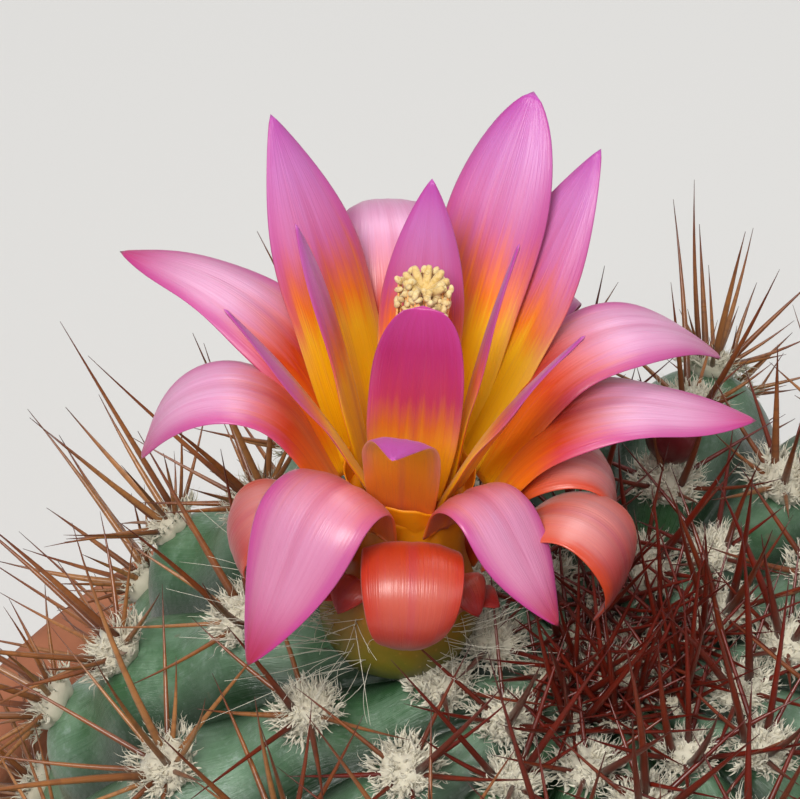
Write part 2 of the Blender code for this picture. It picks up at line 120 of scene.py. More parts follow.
def put(name: str, data: bpy.types.ID) -> bpy.types.Object:
    """Make an object of its data and link it to the scene.

    Args:
        name: object name.
        data: mesh, lamp or camera.

    Returns:
        The object.
    """
    made = bpy.data.objects.new(name, data)
    bpy.context.scene.collection.objects.link(made)
    return made


class Shell:
    """The points, faces and point values of one piece, in millimetres."""

    def __init__(self) -> None:
        self._points: list[Array] = []
        self._faces: list[Array] = []
        self._values: dict[str, list[Array]] = {}
        self._count = 0

    def add(self, points: Array, faces: Sequence[Array], **values: Any) -> None:
        """Add a closed patch.

        Args:
            points: one row per point.
            faces: arrays of point indices, one row per face, each array with
                faces of one kind.
            **values: named numbers per point, or one number for all of them.
        """
        self._points.append(points)
        self._faces.extend(np.asarray(block, dtype=np.int64) + self._count for block in faces)
        for name, numbers in values.items():
            filled = np.broadcast_to(np.asarray(numbers, dtype=np.float32), (len(points),))
            self._values.setdefault(name, []).append(filled)
        self._count += len(points)

    def loft(self, rings: Array, start: Array, end: Array, **values: Array | float) -> None:
        """Add a closed body from rings of points, each end closed onto one point.

        Face (i, j) joins points j and j + 1 of ring i to the same points of
        ring i + 1, so rings that run anticlockwise about the way they climb
        give faces that point out.

        Args:
            rings: points by ring and by place round the ring.
            start: point that closes the first ring.
            end: point that closes the last ring.
            **values: numbers by ring and place, or ones that they share; the
                two end points take the mean of their ring.
        """
        rows, cols = rings.shape[:2]
        index = np.arange(rows * cols).reshape(rows, cols)
        turn = np.roll(index, -1, axis=1)
        quads = np.stack([index[:-1], turn[:-1], turn[1:], index[1:]], axis=-1).reshape(-1, 4)
        foot = np.full(cols, rows * cols)
        head = foot + 1
        below = np.stack([turn[0], index[0], foot], axis=-1)
        above = np.stack([index[-1], turn[-1], head], axis=-1)
        points = np.concatenate([rings.reshape(-1, 3), [start], [end]])
        flat = {}
        for name, numbers in values.items():
            grid = np.broadcast_to(numbers, (rows, cols))
            flat[name] = np.concatenate([grid.ravel(), [grid[0].mean()], [grid[-1].mean()]])
        self.add(points, [quads, below, above], **flat)

    def ring_round(self, rings: Array, **values: Array | float) -> None:
        """Add a body whose last ring joins its first, as a turned wall's does.

        Args:
            rings: points by ring and by place round the ring.
            **values: numbers by ring and place.
        """
        rows, cols = rings.shape[:2]
        index = np.arange(rows * cols).reshape(rows, cols)
        turn = np.roll(index, -1, axis=1)
        up = np.roll(index, -1, axis=0)
        both = np.roll(turn, -1, axis=0)
        quads = np.stack([index, turn, both, up], axis=-1).reshape(-1, 4)
        flat = {name: np.broadcast_to(v, (rows, cols)).ravel() for name, v in values.items()}
        self.add(rings.reshape(-1, 3), [quads], **flat)

    def strands(self, paths: Array, radii: Array | float, sides: int, **values: Array | float) -> None:
        """Add thin closed rods that follow paths, many at once.

        Each path point carries a ring of points in the plane across the path;
        both ends are closed with one flat face.

        Args:
            paths: points by strand and step.
            radii: radius by strand and step, or one that they share.
            sides: points in a ring.
            **values: numbers by strand and step, or ones that they share.
        """
        count, steps = paths.shape[:2]
        radii = np.broadcast_to(radii, (count, steps))
        along = unit(np.gradient(paths, axis=1))
        mean = along.mean(axis=1)
        pick = np.eye(3)[np.abs(mean).argmin(axis=1)][:, None]
        one = unit(np.cross(along, np.broadcast_to(pick, along.shape)))
        two = np.cross(along, one)
        turn = around(sides)
        flat = one[:, :, None] * np.cos(turn)[:, None] + two[:, :, None] * np.sin(turn)[:, None]
        points = paths[:, :, None] + flat * radii[:, :, None, None]
        index = np.arange(count * steps * sides).reshape(count, steps, sides)
        step = np.roll(index, -1, axis=2)
        quads = np.stack([index[:, :-1], step[:, :-1], step[:, 1:], index[:, 1:]], axis=-1)
        flat_values = {}
        for name, numbers in values.items():
            full = np.broadcast_to(numbers, (count, steps))
            flat_values[name] = np.repeat(full.ravel(), sides)
        ends = [index[:, 0, ::-1], index[:, -1]]
        self.add(points.reshape(-1, 3), [quads.reshape(-1, 4), *ends], **flat_values)

    def grains(self, centres: Array, ways: Array, sizes: Array, rough: float = 0.0,
               **values: Array) -> None:
        """Add many small ball-like bodies of eighty faces each.

        Args:
            centres: one point per grain.
            ways: three axes per grain, as a turn matrix.
            sizes: half lengths along the three axes, per grain.
            rough: how far a ripple pushes points away from their centre.
            **values: one number per grain.
        """
        ball, faces = round_ball()
        points = np.einsum("pk,nk,nkj->npj", ball, sizes, ways) + centres[:, None]
        points = points + rough * ripple(points, 1.4, 8)[..., None] * unit(points - centres[:, None])
        index = faces[None] + (np.arange(len(centres)) * len(ball))[:, None, None]
        flat = {name: np.repeat(numbers, len(ball)) for name, numbers in values.items()}
        self.add(points.reshape(-1, 3), [index.reshape(-1, 3)], **flat)

    def make(self, name: str, skin: bpy.types.Material, stands_for: Sequence[str] = (),
             slot: str = "", sharp: bool = False) -> bpy.types.Object:
        """Make the Blender object and tie it to the frame.

        Args:
            name: object name.
            skin: material of the whole piece.
            stands_for: CAD nodes that it replaces.
            slot: name of a material slot of the record; not used.
            sharp: flat faces instead of smooth ones.

        Returns:
            The object, at the origin, unturned and unscaled.
        """
        points = np.concatenate(self._points) * MM
        widths = np.concatenate([np.full(len(block), block.shape[1]) for block in self._faces])
        corners = np.concatenate([block.ravel() for block in self._faces])
        starts = np.concatenate([[0], np.cumsum(widths)[:-1]])
        mesh = bpy.data.meshes.new(name)
        mesh.vertices.add(len(points))
        mesh.vertices.foreach_set("co", points.astype(np.float32).ravel())
        mesh.loops.add(len(corners))
        mesh.loops.foreach_set("vertex_index", corners.astype(np.int32))
        mesh.polygons.add(len(widths))
        mesh.polygons.foreach_set("loop_start", starts.astype(np.int32))
        mesh.update(calc_edges=True)
        mesh.polygons.foreach_set("use_smooth", np.full(len(widths), not sharp))
        for key, blocks in self._values.items():
            layer = mesh.attributes.new(key, "FLOAT", "POINT")
            layer.data.foreach_set("value", np.concatenate(blocks))
        mesh.materials.append(skin)
        mesh.update()
        piece = put(name, mesh)
        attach(piece, BODY)
        if stands_for:
            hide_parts(*stands_for)
        LOG.info("%s: %d points, %d faces", name, len(points), len(widths))
        return piece


def round_ball() -> tuple[Array, Array]:
    """An icosahedron with each face cut in four and pushed out to a unit ball.

    Returns:
        Forty-two points and eighty faces.
    """
    gold = (1 + 5 ** 0.5) / 2
    base = [(a, b * gold, 0) for a in (-1, 1) for b in (-1, 1)]
    corners = unit(np.array([np.roll(p, k) for k in range(3) for p in base], dtype=float))
    reach = np.linalg.norm(corners[:, None] - corners[None], axis=-1)
    near = (reach > 0.1) & (reach < 1.2)
    faces = []
    for i, j, k in ((i, j, k) for i in range(12) for j in range(i + 1, 12) for k in range(j + 1, 12)):
        if near[i, j] and near[j, k] and near[i, k]:
            out = np.cross(corners[j] - corners[i], corners[k] - corners[i]) @ corners[i]
            faces.append((i, j, k) if out > 0 else (i, k, j))
    points = list(corners)
    middles: dict[tuple[int, int], int] = {}

    def middle(a: int, b: int) -> int:
        """Find the point between two corners, made the first time it is asked for.

        Args:
            a: index of one corner.
            b: index of the other.

        Returns:
            Index of the point.
        """
        key = (min(a, b), max(a, b))
        if key not in middles:
            middles[key] = len(points)
            points.append(unit(points[a] + points[b]))
        return middles[key]

    cut = []
    for a, b, c in faces:
        ab, bc, ca = middle(a, b), middle(b, c), middle(c, a)
        cut += [(a, ab, ca), (ab, b, bc), (ca, bc, c), (ab, bc, ca)]
    return np.array(points), np.array(cut)


def rounded(corners: Sequence[tuple[float, float]], radius: float, steps: int, closed: bool) -> Array:
    """Round the corners of a turned profile.

    Each corner becomes a curve from a point before it to a point after it:
    (1 - t)^2 * before + 2 * t * (1 - t) * corner + t^2 * after.

    Args:
        corners: radius and height of each corner, in order.
        radius: distance from a corner at which its curve starts and ends, at
            most 0.45 of the shorter side.
        steps: points per corner.
        closed: whether the last corner joins the first.

    Returns:
        Radius and height of the points.
    """
    points = np.array(corners, dtype=float)
    before = np.roll(points, 1, axis=0) - points
    after = np.roll(points, -1, axis=0) - points
    reach_in = np.linalg.norm(before, axis=1)
    reach_out = np.linalg.norm(after, axis=1)
    cut = np.minimum(radius, 0.45 * np.minimum(reach_in, reach_out))[:, None]
    enter = points + before / reach_in[:, None] * cut
    leave = points + after / reach_out[:, None] * cut
    t = np.linspace(0, 1, steps)[None, :, None]
    curve = (1 - t) ** 2 * enter[:, None] + 2 * t * (1 - t) * points[:, None] + t ** 2 * leave[:, None]
    if not closed:
        curve[0] = points[0]
        curve[-1] = points[-1]
    flat = curve.reshape(-1, 2)
    keep = np.concatenate([[True], np.linalg.norm(np.diff(flat, axis=0), axis=1) > 1e-6])
    return flat[keep]


def turned(profile: Array, sides: int, base: Array | None = None, axis: Array | None = None) -> Array:
    """Rings of a profile turned round an axis.

    Args:
        profile: radius and height of each ring.
        sides: points in a ring.
        base: point from which heights are measured, the origin by default.
        axis: unit direction of the axis, +Z by default.

    Returns:
        Points by ring and place, anticlockwise about the axis.
    """
    up = np.array([0.0, 0.0, 1.0]) if axis is None else axis
    foot = np.zeros(3) if base is None else base
    flat = spokes(around(sides), *across_axes(up))
    return foot + profile[:, 1, None, None] * up + profile[:, 0, None, None] * flat


def across_axes(axis: Array) -> tuple[Array, Array]:
    """Two directions across an axis: +X made square to it, and the third."""
    one = unit(np.array([1.0, 0.0, 0.0]) - axis * axis[0])
    return one, np.cross(axis, one)


class Value:
    """A shader socket that carries a number and takes part in expressions."""

    def __init__(self, nodes: "Nodes", socket: bpy.types.NodeSocket) -> None:
        self.nodes = nodes
        self.socket = socket

    def _math(self, operation: str, first: Any, second: Any = None) -> "Value":
        """Add a Math node.

        Args:
            operation: the node's operation.
            first: first operand.
            second: second operand, where the operation has one.

        Returns:
            The node's result.
        """
        inputs = {0: first} if second is None else {0: first, 1: second}
        node = self.nodes.node("ShaderNodeMath", {"operation": operation}, inputs)
        return Value(self.nodes, node.outputs[0])

    def __add__(self, other: Any) -> "Value":
        """self + other."""
        return self._math("ADD", self, other)

    __radd__ = __add__

    def __sub__(self, other: Any) -> "Value":
        """self - other."""
        return self._math("SUBTRACT", self, other)

    def __rsub__(self, other: Any) -> "Value":
        """other - self."""
        return self._math("SUBTRACT", other, self)

    def __mul__(self, other: Any) -> "Value":
        """self * other."""
        return self._math("MULTIPLY", self, other)

    __rmul__ = __mul__

    def __pow__(self, other: Any) -> "Value":
        """self raised to other."""
        return self._math("POWER", self, other)

    def __abs__(self) -> "Value":
        """Distance from zero."""
        return self._math("ABSOLUTE", self)

    def span(self, low: float, high: float) -> "Value":
        """Ease from 0 at low to 1 at high.

        Args:
            low: value that gives 0.
            high: value that gives 1.

        Returns:
            The eased value.
        """
        settings = {"interpolation_type": "SMOOTHSTEP", "clamp": True}
        inputs = {"Value": self, "From Min": low, "From Max": high, "To Min": 0.0, "To Max": 1.0}
        return Value(self.nodes, self.nodes.node("ShaderNodeMapRange", settings, inputs).outputs[0])


class Nodes:
    """One material and the nodes that drive its Principled shader."""

    def __init__(self, name: str, **constants: Any) -> None:
        """Make the material.

        Args:
            name: material name.
            **constants: Principled inputs with one value all over, with
                underscores for spaces.
        """
        self.material = bpy.data.materials.new(name)
        self.material.use_nodes = True
        self.tree = self.material.node_tree
        self.shader = self.tree.nodes["Principled BSDF"]
        sockets = {socket.name.lower().replace(" ", "_"): socket for socket in self.shader.inputs}
        for key, value in constants.items():
            sockets[key].default_value = value

    def node(self, kind: str, settings: dict[str, Any], inputs: dict[Any, Any]) -> bpy.types.Node:
        """Add a node.

        Args:
            kind: Blender's node type.
            settings: node settings, set first; "stops" fills a colour ramp.
            inputs: value, socket or Value for each input, by name or index.

        Returns:
            The node.
        """
        made = self.tree.nodes.new(kind)
        for key, value in settings.items():
            if key == "stops":
                self._fill_ramp(made, value)
            else:
                setattr(made, key, value)
        for key, value in inputs.items():
            source = value.socket if isinstance(value, Value) else value
            if isinstance(source, bpy.types.NodeSocket):
                self.tree.links.new(source, made.inputs[key])
            else:
                made.inputs[key].default_value = source
        return made

    def _fill_ramp(self, made: bpy.types.Node, stops: Ramp) -> None:
        """Set a colour ramp's stops.

        Args:
            made: the colour ramp node.
            stops: place and colour of each stop.
        """
        elements = made.color_ramp.elements
        while len(elements) < len(stops):
            elements.new(1.0)
        for element, (place, color) in zip(elements, stops):
            element.position = place
            element.color = (*color, 1.0)

    def number(self, attribute: str) -> Value:
        """Number stored on the piece's points."""
        made = self.node("ShaderNodeAttribute", {"attribute_name": attribute}, {})
        return Value(self, made.outputs["Fac"])

    def place(self) -> bpy.types.NodeSocket:
        """Object coordinates, in metres."""
        return self.node("ShaderNodeTexCoord", {}, {}).outputs["Object"]

    def vector(self, x: Any, y: Any, z: Any = 0.0) -> bpy.types.NodeSocket:
        """Vector from three numbers."""
        return self.node("ShaderNodeCombineXYZ", {}, {0: x, 1: y, 2: z}).outputs[0]

    def noise(self, where: Any, scale: float, detail: float = 2.0, rough: float = 0.5) -> Value:
        """Smooth noise from 0 to 1.

        Args:
            where: vector socket.
            scale: repeats per unit of the vector.
            detail: number of finer layers.
            rough: strength of each finer layer.

        Returns:
            The noise.
        """
        inputs = {"Vector": where, "Scale": scale, "Detail": detail, "Roughness": rough}
        return Value(self, self.node("ShaderNodeTexNoise", {}, inputs).outputs[0])

    def cells(self, where: Any, scale: float) -> Value:
        """Distance to the nearest of many scattered points."""
        made = self.node("ShaderNodeTexVoronoi", {}, {"Vector": where, "Scale": scale})
        return Value(self, made.outputs["Distance"])

    def mix(self, part: Any, first: Any, second: Any) -> bpy.types.NodeSocket:
        """Blend two colours.

        Args:
            part: share of the second, from 0 to 1.
            first: colour or socket.
            second: colour or socket.

        Returns:
            The colour socket.
        """
        def full(color: Any) -> Any:
            """Colour with an alpha of one, or the socket itself."""
            return (*color, 1.0) if isinstance(color, tuple) else color

        made = self.node("ShaderNodeMix", {"data_type": "RGBA"}, {0: part, 6: full(first), 7: full(second)})
        return made.outputs[2]

    def ramp(self, value: Any, stops: Ramp) -> bpy.types.NodeSocket:
        """Colour ramp that runs straight from stop to stop."""
        return self.node("ShaderNodeValToRGB", {"stops": stops}, {0: value}).outputs[0]

    def drive(self, color: Any = None, roughness: Any = None, height: Any = None,
              strength: float = 0.5, distance: float = 0.1) -> bpy.types.Material:
        """Link the shader's inputs.

        Args:
            color: base colour socket.
            roughness: roughness value.
            height: bump height, from 0 to 1.
            strength: strength of the bump.
            distance: depth of the bump, in millimetres.

        Returns:
            The material.
        """
        if color is not None:
            self.tree.links.new(color, self.shader.inputs["Base Color"])
        if roughness is not None:
            self.tree.links.new(roughness.socket, self.shader.inputs["Roughness"])
        if height is not None:
            inputs = {"Height": height, "Strength": strength, "Distance": distance * MM}
            bump = self.node("ShaderNodeBump", {}, inputs)
            self.tree.links.new(bump.outputs[0], self.shader.inputs["Normal"])
        return self.material


@dataclass(frozen=True)
class StemSkin:
    """Waxy green skin: blue-grey bloom on the ribs, deep green furrows darkened further with painted shade,
    corky foot.
    """

    crest: Color = (0.034, 0.115, 0.036)
    bloom: Color = (0.185, 0.315, 0.2)
    shade: Color = (0.022, 0.075, 0.026)
    # Furrow colour: deep green darkened almost to black, as painted shade.
    furrow: Color = (0.006, 0.028, 0.007)
    cork: Color = (0.16, 0.11, 0.06)
    scratch: Color = (0.3, 0.4, 0.33)
    dust: Color = (0.36, 0.46, 0.4)
    pores: float = 1700.0

    def make(self) -> bpy.types.Material:
        """Build the material.

        Returns:
            The finished material.
        """
        kit = Nodes("stem_skin", specular_ior_level=0.8)
        where = kit.place()
        depth = kit.number("furrow")
        level = kit.number("level")
        patches = kit.noise(where, 60.0, 5.0, 0.62)
        cloud = kit.noise(where, 260.0, 4.0, 0.65)
        streaks = kit.noise(kit.vector(kit.number("turn") * 90.0, kit.number("run") * 7.0), 1.0, 4.0, 0.65)
        skin = kit.mix(patches.span(0.34, 0.68), self.crest, self.bloom)
        skin = kit.mix(cloud.span(0.44, 0.66) * 0.5, skin, self.bloom)
        dust = kit.noise(where, 1100.0, 4.0, 0.7).span(0.5, 0.72) * patches.span(0.36, 0.6)
        skin = kit.mix(dust * 0.6, skin, self.dust)
        skin = kit.mix(streaks.span(0.52, 0.72) * 0.45, skin, self.bloom)
        skin = kit.mix(streaks.span(0.5, 0.28) * 0.4, skin, self.shade)
        # Painted shade: the skin goes to the dark furrow colour towards the bottom of each furrow.
        skin = kit.mix(depth.span(0.12, 0.85), skin, self.furrow)
        corky = (1.0 - level.span(0.02, 0.2)) * cloud.span(0.35, 0.62)
        skin = kit.mix(corky, skin, self.cork)
        scar = kit.noise(where, 520.0, 2.0, 0.5).span(0.7, 0.78)
        skin = kit.mix(scar * 0.5, skin, self.cork)
        pore = kit.cells(where, self.pores)
        skin = kit.mix(pore.span(0.26, 0.04) * 0.14, skin, self.scratch)
        rough = 0.12 + 0.3 * patches + 0.12 * streaks + 0.3 * corky
        height = cloud * 0.45 + streaks * 0.35 + pore * 0.2
        return kit.drive(skin, rough, height, 0.6, 0.3)


@dataclass(frozen=True)
class Wool:
    """Matted cream wool, a little browner where it is old, with painted shade deep between its hairs."""

    name: str = "wool"
    fresh: Color = (0.8, 0.76, 0.62)
    old: Color = (0.54, 0.48, 0.36)
    hair_shade: Color = (0.3, 0.25, 0.16)

    def make(self) -> bpy.types.Material:
        """Build the material.

        Returns:
            The finished material.
        """
        kit = Nodes(self.name, roughness=1.0, specular_ior_level=0.15, sheen_weight=0.25)
        where = kit.place()
        age = kit.number("age")
        depth = kit.number("depth")
        cloud = kit.noise(where, 700.0, 3.0, 0.6)
        color = kit.mix(age * 0.6 + (cloud - 0.5) * 0.4, self.fresh, self.old)
        # Painted shade: darker where the depth number is high, deep in the tuft towards the roots of the
        # hairs.
        color = kit.mix(depth * 0.62, color, self.hair_shade)
        return kit.drive(color, None, cloud, 0.5, 0.12)


@dataclass(frozen=True)
class Spine:
    """Hard glossy spine: dark red when young, straw to orange brown when old."""

    young: Ramp = ((0.0, (0.05, 0.005, 0.003)), (0.4, (0.16, 0.012, 0.004)),
                   (0.75, (0.13, 0.008, 0.003)), (1.0, (0.035, 0.003, 0.002)))
    old: Ramp = ((0.0, (0.05, 0.014, 0.006)), (0.22, (0.19, 0.06, 0.018)), (0.5, (0.3, 0.105, 0.026)),
                 (0.8, (0.17, 0.045, 0.014)), (1.0, (0.055, 0.013, 0.006)))
    straw: Color = (0.46, 0.21, 0.07)
    streak: Color = (0.07, 0.02, 0.012)

    def make(self) -> bpy.types.Material:
        """Build the material.

        Returns:
            The finished material.
        """
        kit = Nodes("spine", specular_ior_level=0.6)
        along = kit.number("along")
        age = kit.number("age")
        tone = kit.number("tone")
        young = kit.ramp(along, self.young)
        old = kit.ramp(along, self.old)
        color = kit.mix((age + (tone - 0.5) * 0.7).span(0.1, 0.9), young, old)
        color = kit.mix(age * tone.span(0.35, 1.0) * along.span(1.0, 0.5) * 0.6, color, self.straw)
        streak = kit.noise(kit.vector(along * 24.0, tone * 50.0), 1.0, 2.0)
        color = kit.mix(streak.span(0.45, 0.7) * 0.35, color, self.streak)
        return kit.drive(color, 0.22 + 0.2 * streak, streak, 0.3, 0.03)


class Dye(Enum):
    """How a tepal is coloured, by its place in the flower."""

    UPRIGHT = "upright"
    ARCHED = "arched"
    FALLING = "falling"
    CURLED = "curled"
    EMBER = "ember"
    THROAT = "throat"
    TONGUE = "tongue"


@dataclass(frozen=True)
class TepalSkin:
    """Silky tepal: coloured along its length, veined, with a painted pale highlight on its back bend."""

    inner: Ramp
    outer: Ramp
    # The bloom colour and the three numbers after it paint a pale highlight band over the middle of the
    # tepal, between two places along its length.
    bloom: Color
    highlight_from: float
    highlight_to: float
    highlight_part: float
    margin: Color = (0.46, 0.035, 0.22)
    margin_part: float = 0.4
    midrib: Color = (0.42, 0.02, 0.1)
    vein: Color = (0.38, 0.02, 0.14)

    def make(self, name: str) -> bpy.types.Material:
        """Build the material under a name.

        Args:
            name: material name.

        Returns:
            The finished material.
        """
        kit = Nodes(name, specular_ior_level=0.6, sheen_weight=0.08, sheen_roughness=0.4,
                    subsurface_weight=0.12, subsurface_scale=0.0015)
        kit.shader.inputs["Subsurface Radius"].default_value = (1.0, 0.45, 0.5)
        along = kit.number("along")
        across = kit.number("across")
        face = kit.number("face")
        tone = kit.number("tone")
        vein = kit.noise(kit.vector(across * 9.0, along * 1.3, tone * 30.0), 1.0, 3.0, 0.65)
        fine = kit.noise(kit.vector(across * 34.0, along * 5.0, tone * 30.0), 1.0, 2.0)
        reach = along + (vein - 0.5) * 0.22 + (tone - 0.5) * 0.06
        front = kit.ramp(reach, self.inner)
        back = kit.ramp(reach, self.outer)
        color = kit.mix(face.span(-0.1, 0.1), back, front)
        # Painted highlight: a pale band along part of the length, fading towards the edges.
        highlight_window = along.span(self.highlight_from - 0.12, self.highlight_from + 0.12)
        highlight_window = highlight_window * along.span(self.highlight_to + 0.14, self.highlight_to - 0.1)
        soft = (1.0 - abs(across) ** 2.5 * 0.75) * (0.45 + 0.75 * vein)
        color = kit.mix(highlight_window * soft * self.highlight_part, color, self.bloom)
        rib = abs(across).span(0.16, 0.02) * along.span(0.95, 0.5)
        color = kit.mix(rib * 0.22, color, self.midrib)
        color = kit.mix(fine.span(0.5, 0.75) * 0.14, color, self.vein)
        edge = (abs(across) + (vein - 0.5) * 0.5).span(0.6, 1.0) * along.span(0.2, 0.5)
        color = kit.mix(edge * self.margin_part, color, self.margin)
        rough = 0.42 - 0.12 * vein
        return kit.drive(color, rough, vein * 0.6 + fine * 0.4, 0.45, 0.14)


YELLOW: Color = (0.95, 0.5, 0.002)
ORANGE: Color = (0.88, 0.2, 0.005)
EMBER: Color = (0.6, 0.055, 0.004)
SALMON: Color = (0.68, 0.12, 0.09)
PINK: Color = (0.54, 0.085, 0.27)
LILAC: Color = (0.5, 0.1, 0.4)
MAGENTA: Color = (0.45, 0.03, 0.18)
WINE: Color = (0.26, 0.008, 0.025)
# Pale pink of the painted highlight on the tepals.
PALE_HIGHLIGHT: Color = (0.86, 0.52, 0.72)

TEPAL_SKINS = {
    Dye.UPRIGHT: TepalSkin(
        inner=((0.0, YELLOW), (0.38, YELLOW), (0.48, ORANGE), (0.56, SALMON), (0.66, PINK), (0.85, LILAC),
               (1.0, (0.48, 0.045, 0.38))),
        outer=((0.0, YELLOW), (0.24, ORANGE), (0.42, (0.62, 0.07, 0.09)), (0.6, MAGENTA), (1.0, PINK)),
        bloom=PALE_HIGHLIGHT, highlight_from=0.62, highlight_to=0.93, highlight_part=0.2),
    Dye.ARCHED: TepalSkin(
        inner=((0.0, YELLOW), (0.14, ORANGE), (0.34, EMBER), (0.46, (0.66, 0.12, 0.1)), (0.6, PINK),
               (0.86, PINK), (1.0, (0.48, 0.03, 0.15))),
        outer=((0.0, ORANGE), (0.3, EMBER), (0.6, (0.6, 0.08, 0.1)), (1.0, MAGENTA)),
        bloom=PALE_HIGHLIGHT, highlight_from=0.5, highlight_to=0.82, highlight_part=0.7,
        margin=(0.5, 0.03, 0.24), margin_part=0.6),
    Dye.FALLING: TepalSkin(
        inner=((0.0, ORANGE), (0.2, (0.66, 0.09, 0.04)), (0.36, (0.66, 0.15, 0.17)),
               (0.55, (0.52, 0.1, 0.24)), (0.84, (0.46, 0.04, 0.16)), (1.0, (0.36, 0.012, 0.045))),
        outer=((0.0, ORANGE), (0.3, EMBER), (0.7, MAGENTA), (1.0, WINE)),
        bloom=PALE_HIGHLIGHT, highlight_from=0.38, highlight_to=0.82, highlight_part=0.4,
        margin=(0.5, 0.03, 0.26), margin_part=0.65),
    Dye.CURLED: TepalSkin(
        inner=((0.0, (0.6, 0.11, 0.006)), (0.28, (0.6, 0.08, 0.012)), (0.44, (0.6, 0.12, 0.08)),
               (0.58, (0.46, 0.045, 0.04)), (0.72, (0.32, 0.01, 0.006)), (1.0, (0.22, 0.004, 0.002))),
        outer=((0.0, EMBER), (0.5, (0.36, 0.016, 0.008)), (1.0, WINE)),
        bloom=(0.9, 0.5, 0.52), highlight_from=0.36, highlight_to=0.54, highlight_part=0.5,
        margin=(0.62, 0.05, 0.006), margin_part=0.85),
    Dye.EMBER: TepalSkin(
        inner=((0.0, (0.56, 0.12, 0.006)), (0.3, (0.6, 0.055, 0.004)), (0.55, (0.46, 0.026, 0.007)),
               (0.8, (0.42, 0.01, 0.003)), (1.0, (0.26, 0.004, 0.002))),
        outer=((0.0, (0.5, 0.05, 0.004)), (0.5, (0.3, 0.01, 0.005)), (1.0, (0.2, 0.005, 0.005))),
        bloom=(0.7, 0.22, 0.15), highlight_from=0.5, highlight_to=0.68, highlight_part=0.42,
        margin=(0.5, 0.02, 0.003), margin_part=0.6),
    Dye.THROAT: TepalSkin(
        inner=((0.0, YELLOW), (0.5, YELLOW), (0.78, ORANGE), (0.86, LILAC), (1.0, LILAC)),
        outer=((0.0, YELLOW), (0.25, (0.8, 0.33, 0.006)), (0.4, (0.64, 0.16, 0.02)),
               (0.55, (0.5, 0.04, 0.1)), (0.78, (0.42, 0.014, 0.12)), (1.0, (0.5, 0.03, 0.24))),
        bloom=(0.66, 0.1, 0.36), highlight_from=0.6, highlight_to=1.0, highlight_part=0.12),
    Dye.TONGUE: TepalSkin(
        inner=((0.0, YELLOW), (0.6, ORANGE), (0.74, LILAC), (1.0, (0.5, 0.07, 0.36))),
        outer=((0.0, ORANGE), (0.5, (0.92, 0.3, 0.003)), (0.85, (0.95, 0.42, 0.003)), (1.0, ORANGE)),
        bloom=(0.72, 0.3, 0.6), highlight_from=0.8, highlight_to=1.0, highlight_part=0.0),
}


@dataclass(frozen=True)
class TubeSkin:
    """Fleshy flower tube: olive green foot darkened with painted shade, orange neck and pale specks."""

    # The lowest stops are darker than the olive skin: painted shade low on the tube.
    stops: Ramp = ((0.0, (0.06, 0.07, 0.008)), (0.22, (0.15, 0.13, 0.01)), (0.42, (0.32, 0.15, 0.006)),
                   (0.6, (0.58, 0.15, 0.005)), (0.8, (0.72, 0.24, 0.005)), (1.0, (0.9, 0.32, 0.004)))
    speck: Color = (0.6, 0.3, 0.08)

    def make(self) -> bpy.types.Material:
        """Build the material.

        Returns:
            The finished material.
        """
        kit = Nodes("tube_skin", specular_ior_level=0.5, subsurface_weight=0.1, subsurface_scale=0.0015)
        where = kit.place()
        along = kit.number("along")
        cloud = kit.noise(where, 420.0, 3.0, 0.6)
        reach = along + (cloud - 0.5) * 0.25
        color = kit.ramp(reach, self.stops)
        speck = kit.cells(where, 1500.0)
        color = kit.mix(speck.span(0.25, 0.05) * 0.3, color, self.speck)
        return kit.drive(color, 0.34 + 0.2 * cloud, cloud, 0.4, 0.15)


@dataclass(frozen=True)
class Mealy:
    """Pale grainy finish of the stigma and anthers."""

    name: str
    color: Color
    shade: Color

    def make(self) -> bpy.types.Material:
        """Build the material.

        Returns:
            The finished material.
        """
        kit = Nodes(self.name, roughness=0.85, specular_ior_level=0.2, sheen_weight=0.2)
        grain = kit.noise(kit.place(), 2600.0, 3.0, 0.7)
        return kit.drive(kit.mix(grain.span(0.4, 0.7), self.color, self.shade), None, grain, 0.6, 0.1)


@dataclass(frozen=True)
class BudSkin:
    """Dark wine-red bud, browner at its foot, with a waxy shine."""

    stops: Ramp = ((0.0, (0.12, 0.05, 0.02)), (0.3, (0.11, 0.008, 0.01)), (0.75, (0.17, 0.008, 0.014)),
                   (1.0, (0.3, 0.03, 0.05)))

    def make(self) -> bpy.types.Material:
        """Build the material.

        Returns:
            The finished material.
        """
        kit = Nodes("bud_skin", specular_ior_level=0.6, coat_weight=0.15)
        along = kit.number("along")
        cloud = kit.noise(kit.place(), 700.0, 3.0)
        color = kit.ramp(along + (cloud - 0.5) * 0.3, self.stops)
        return kit.drive(color, 0.28 + 0.2 * cloud, cloud, 0.4, 0.1)


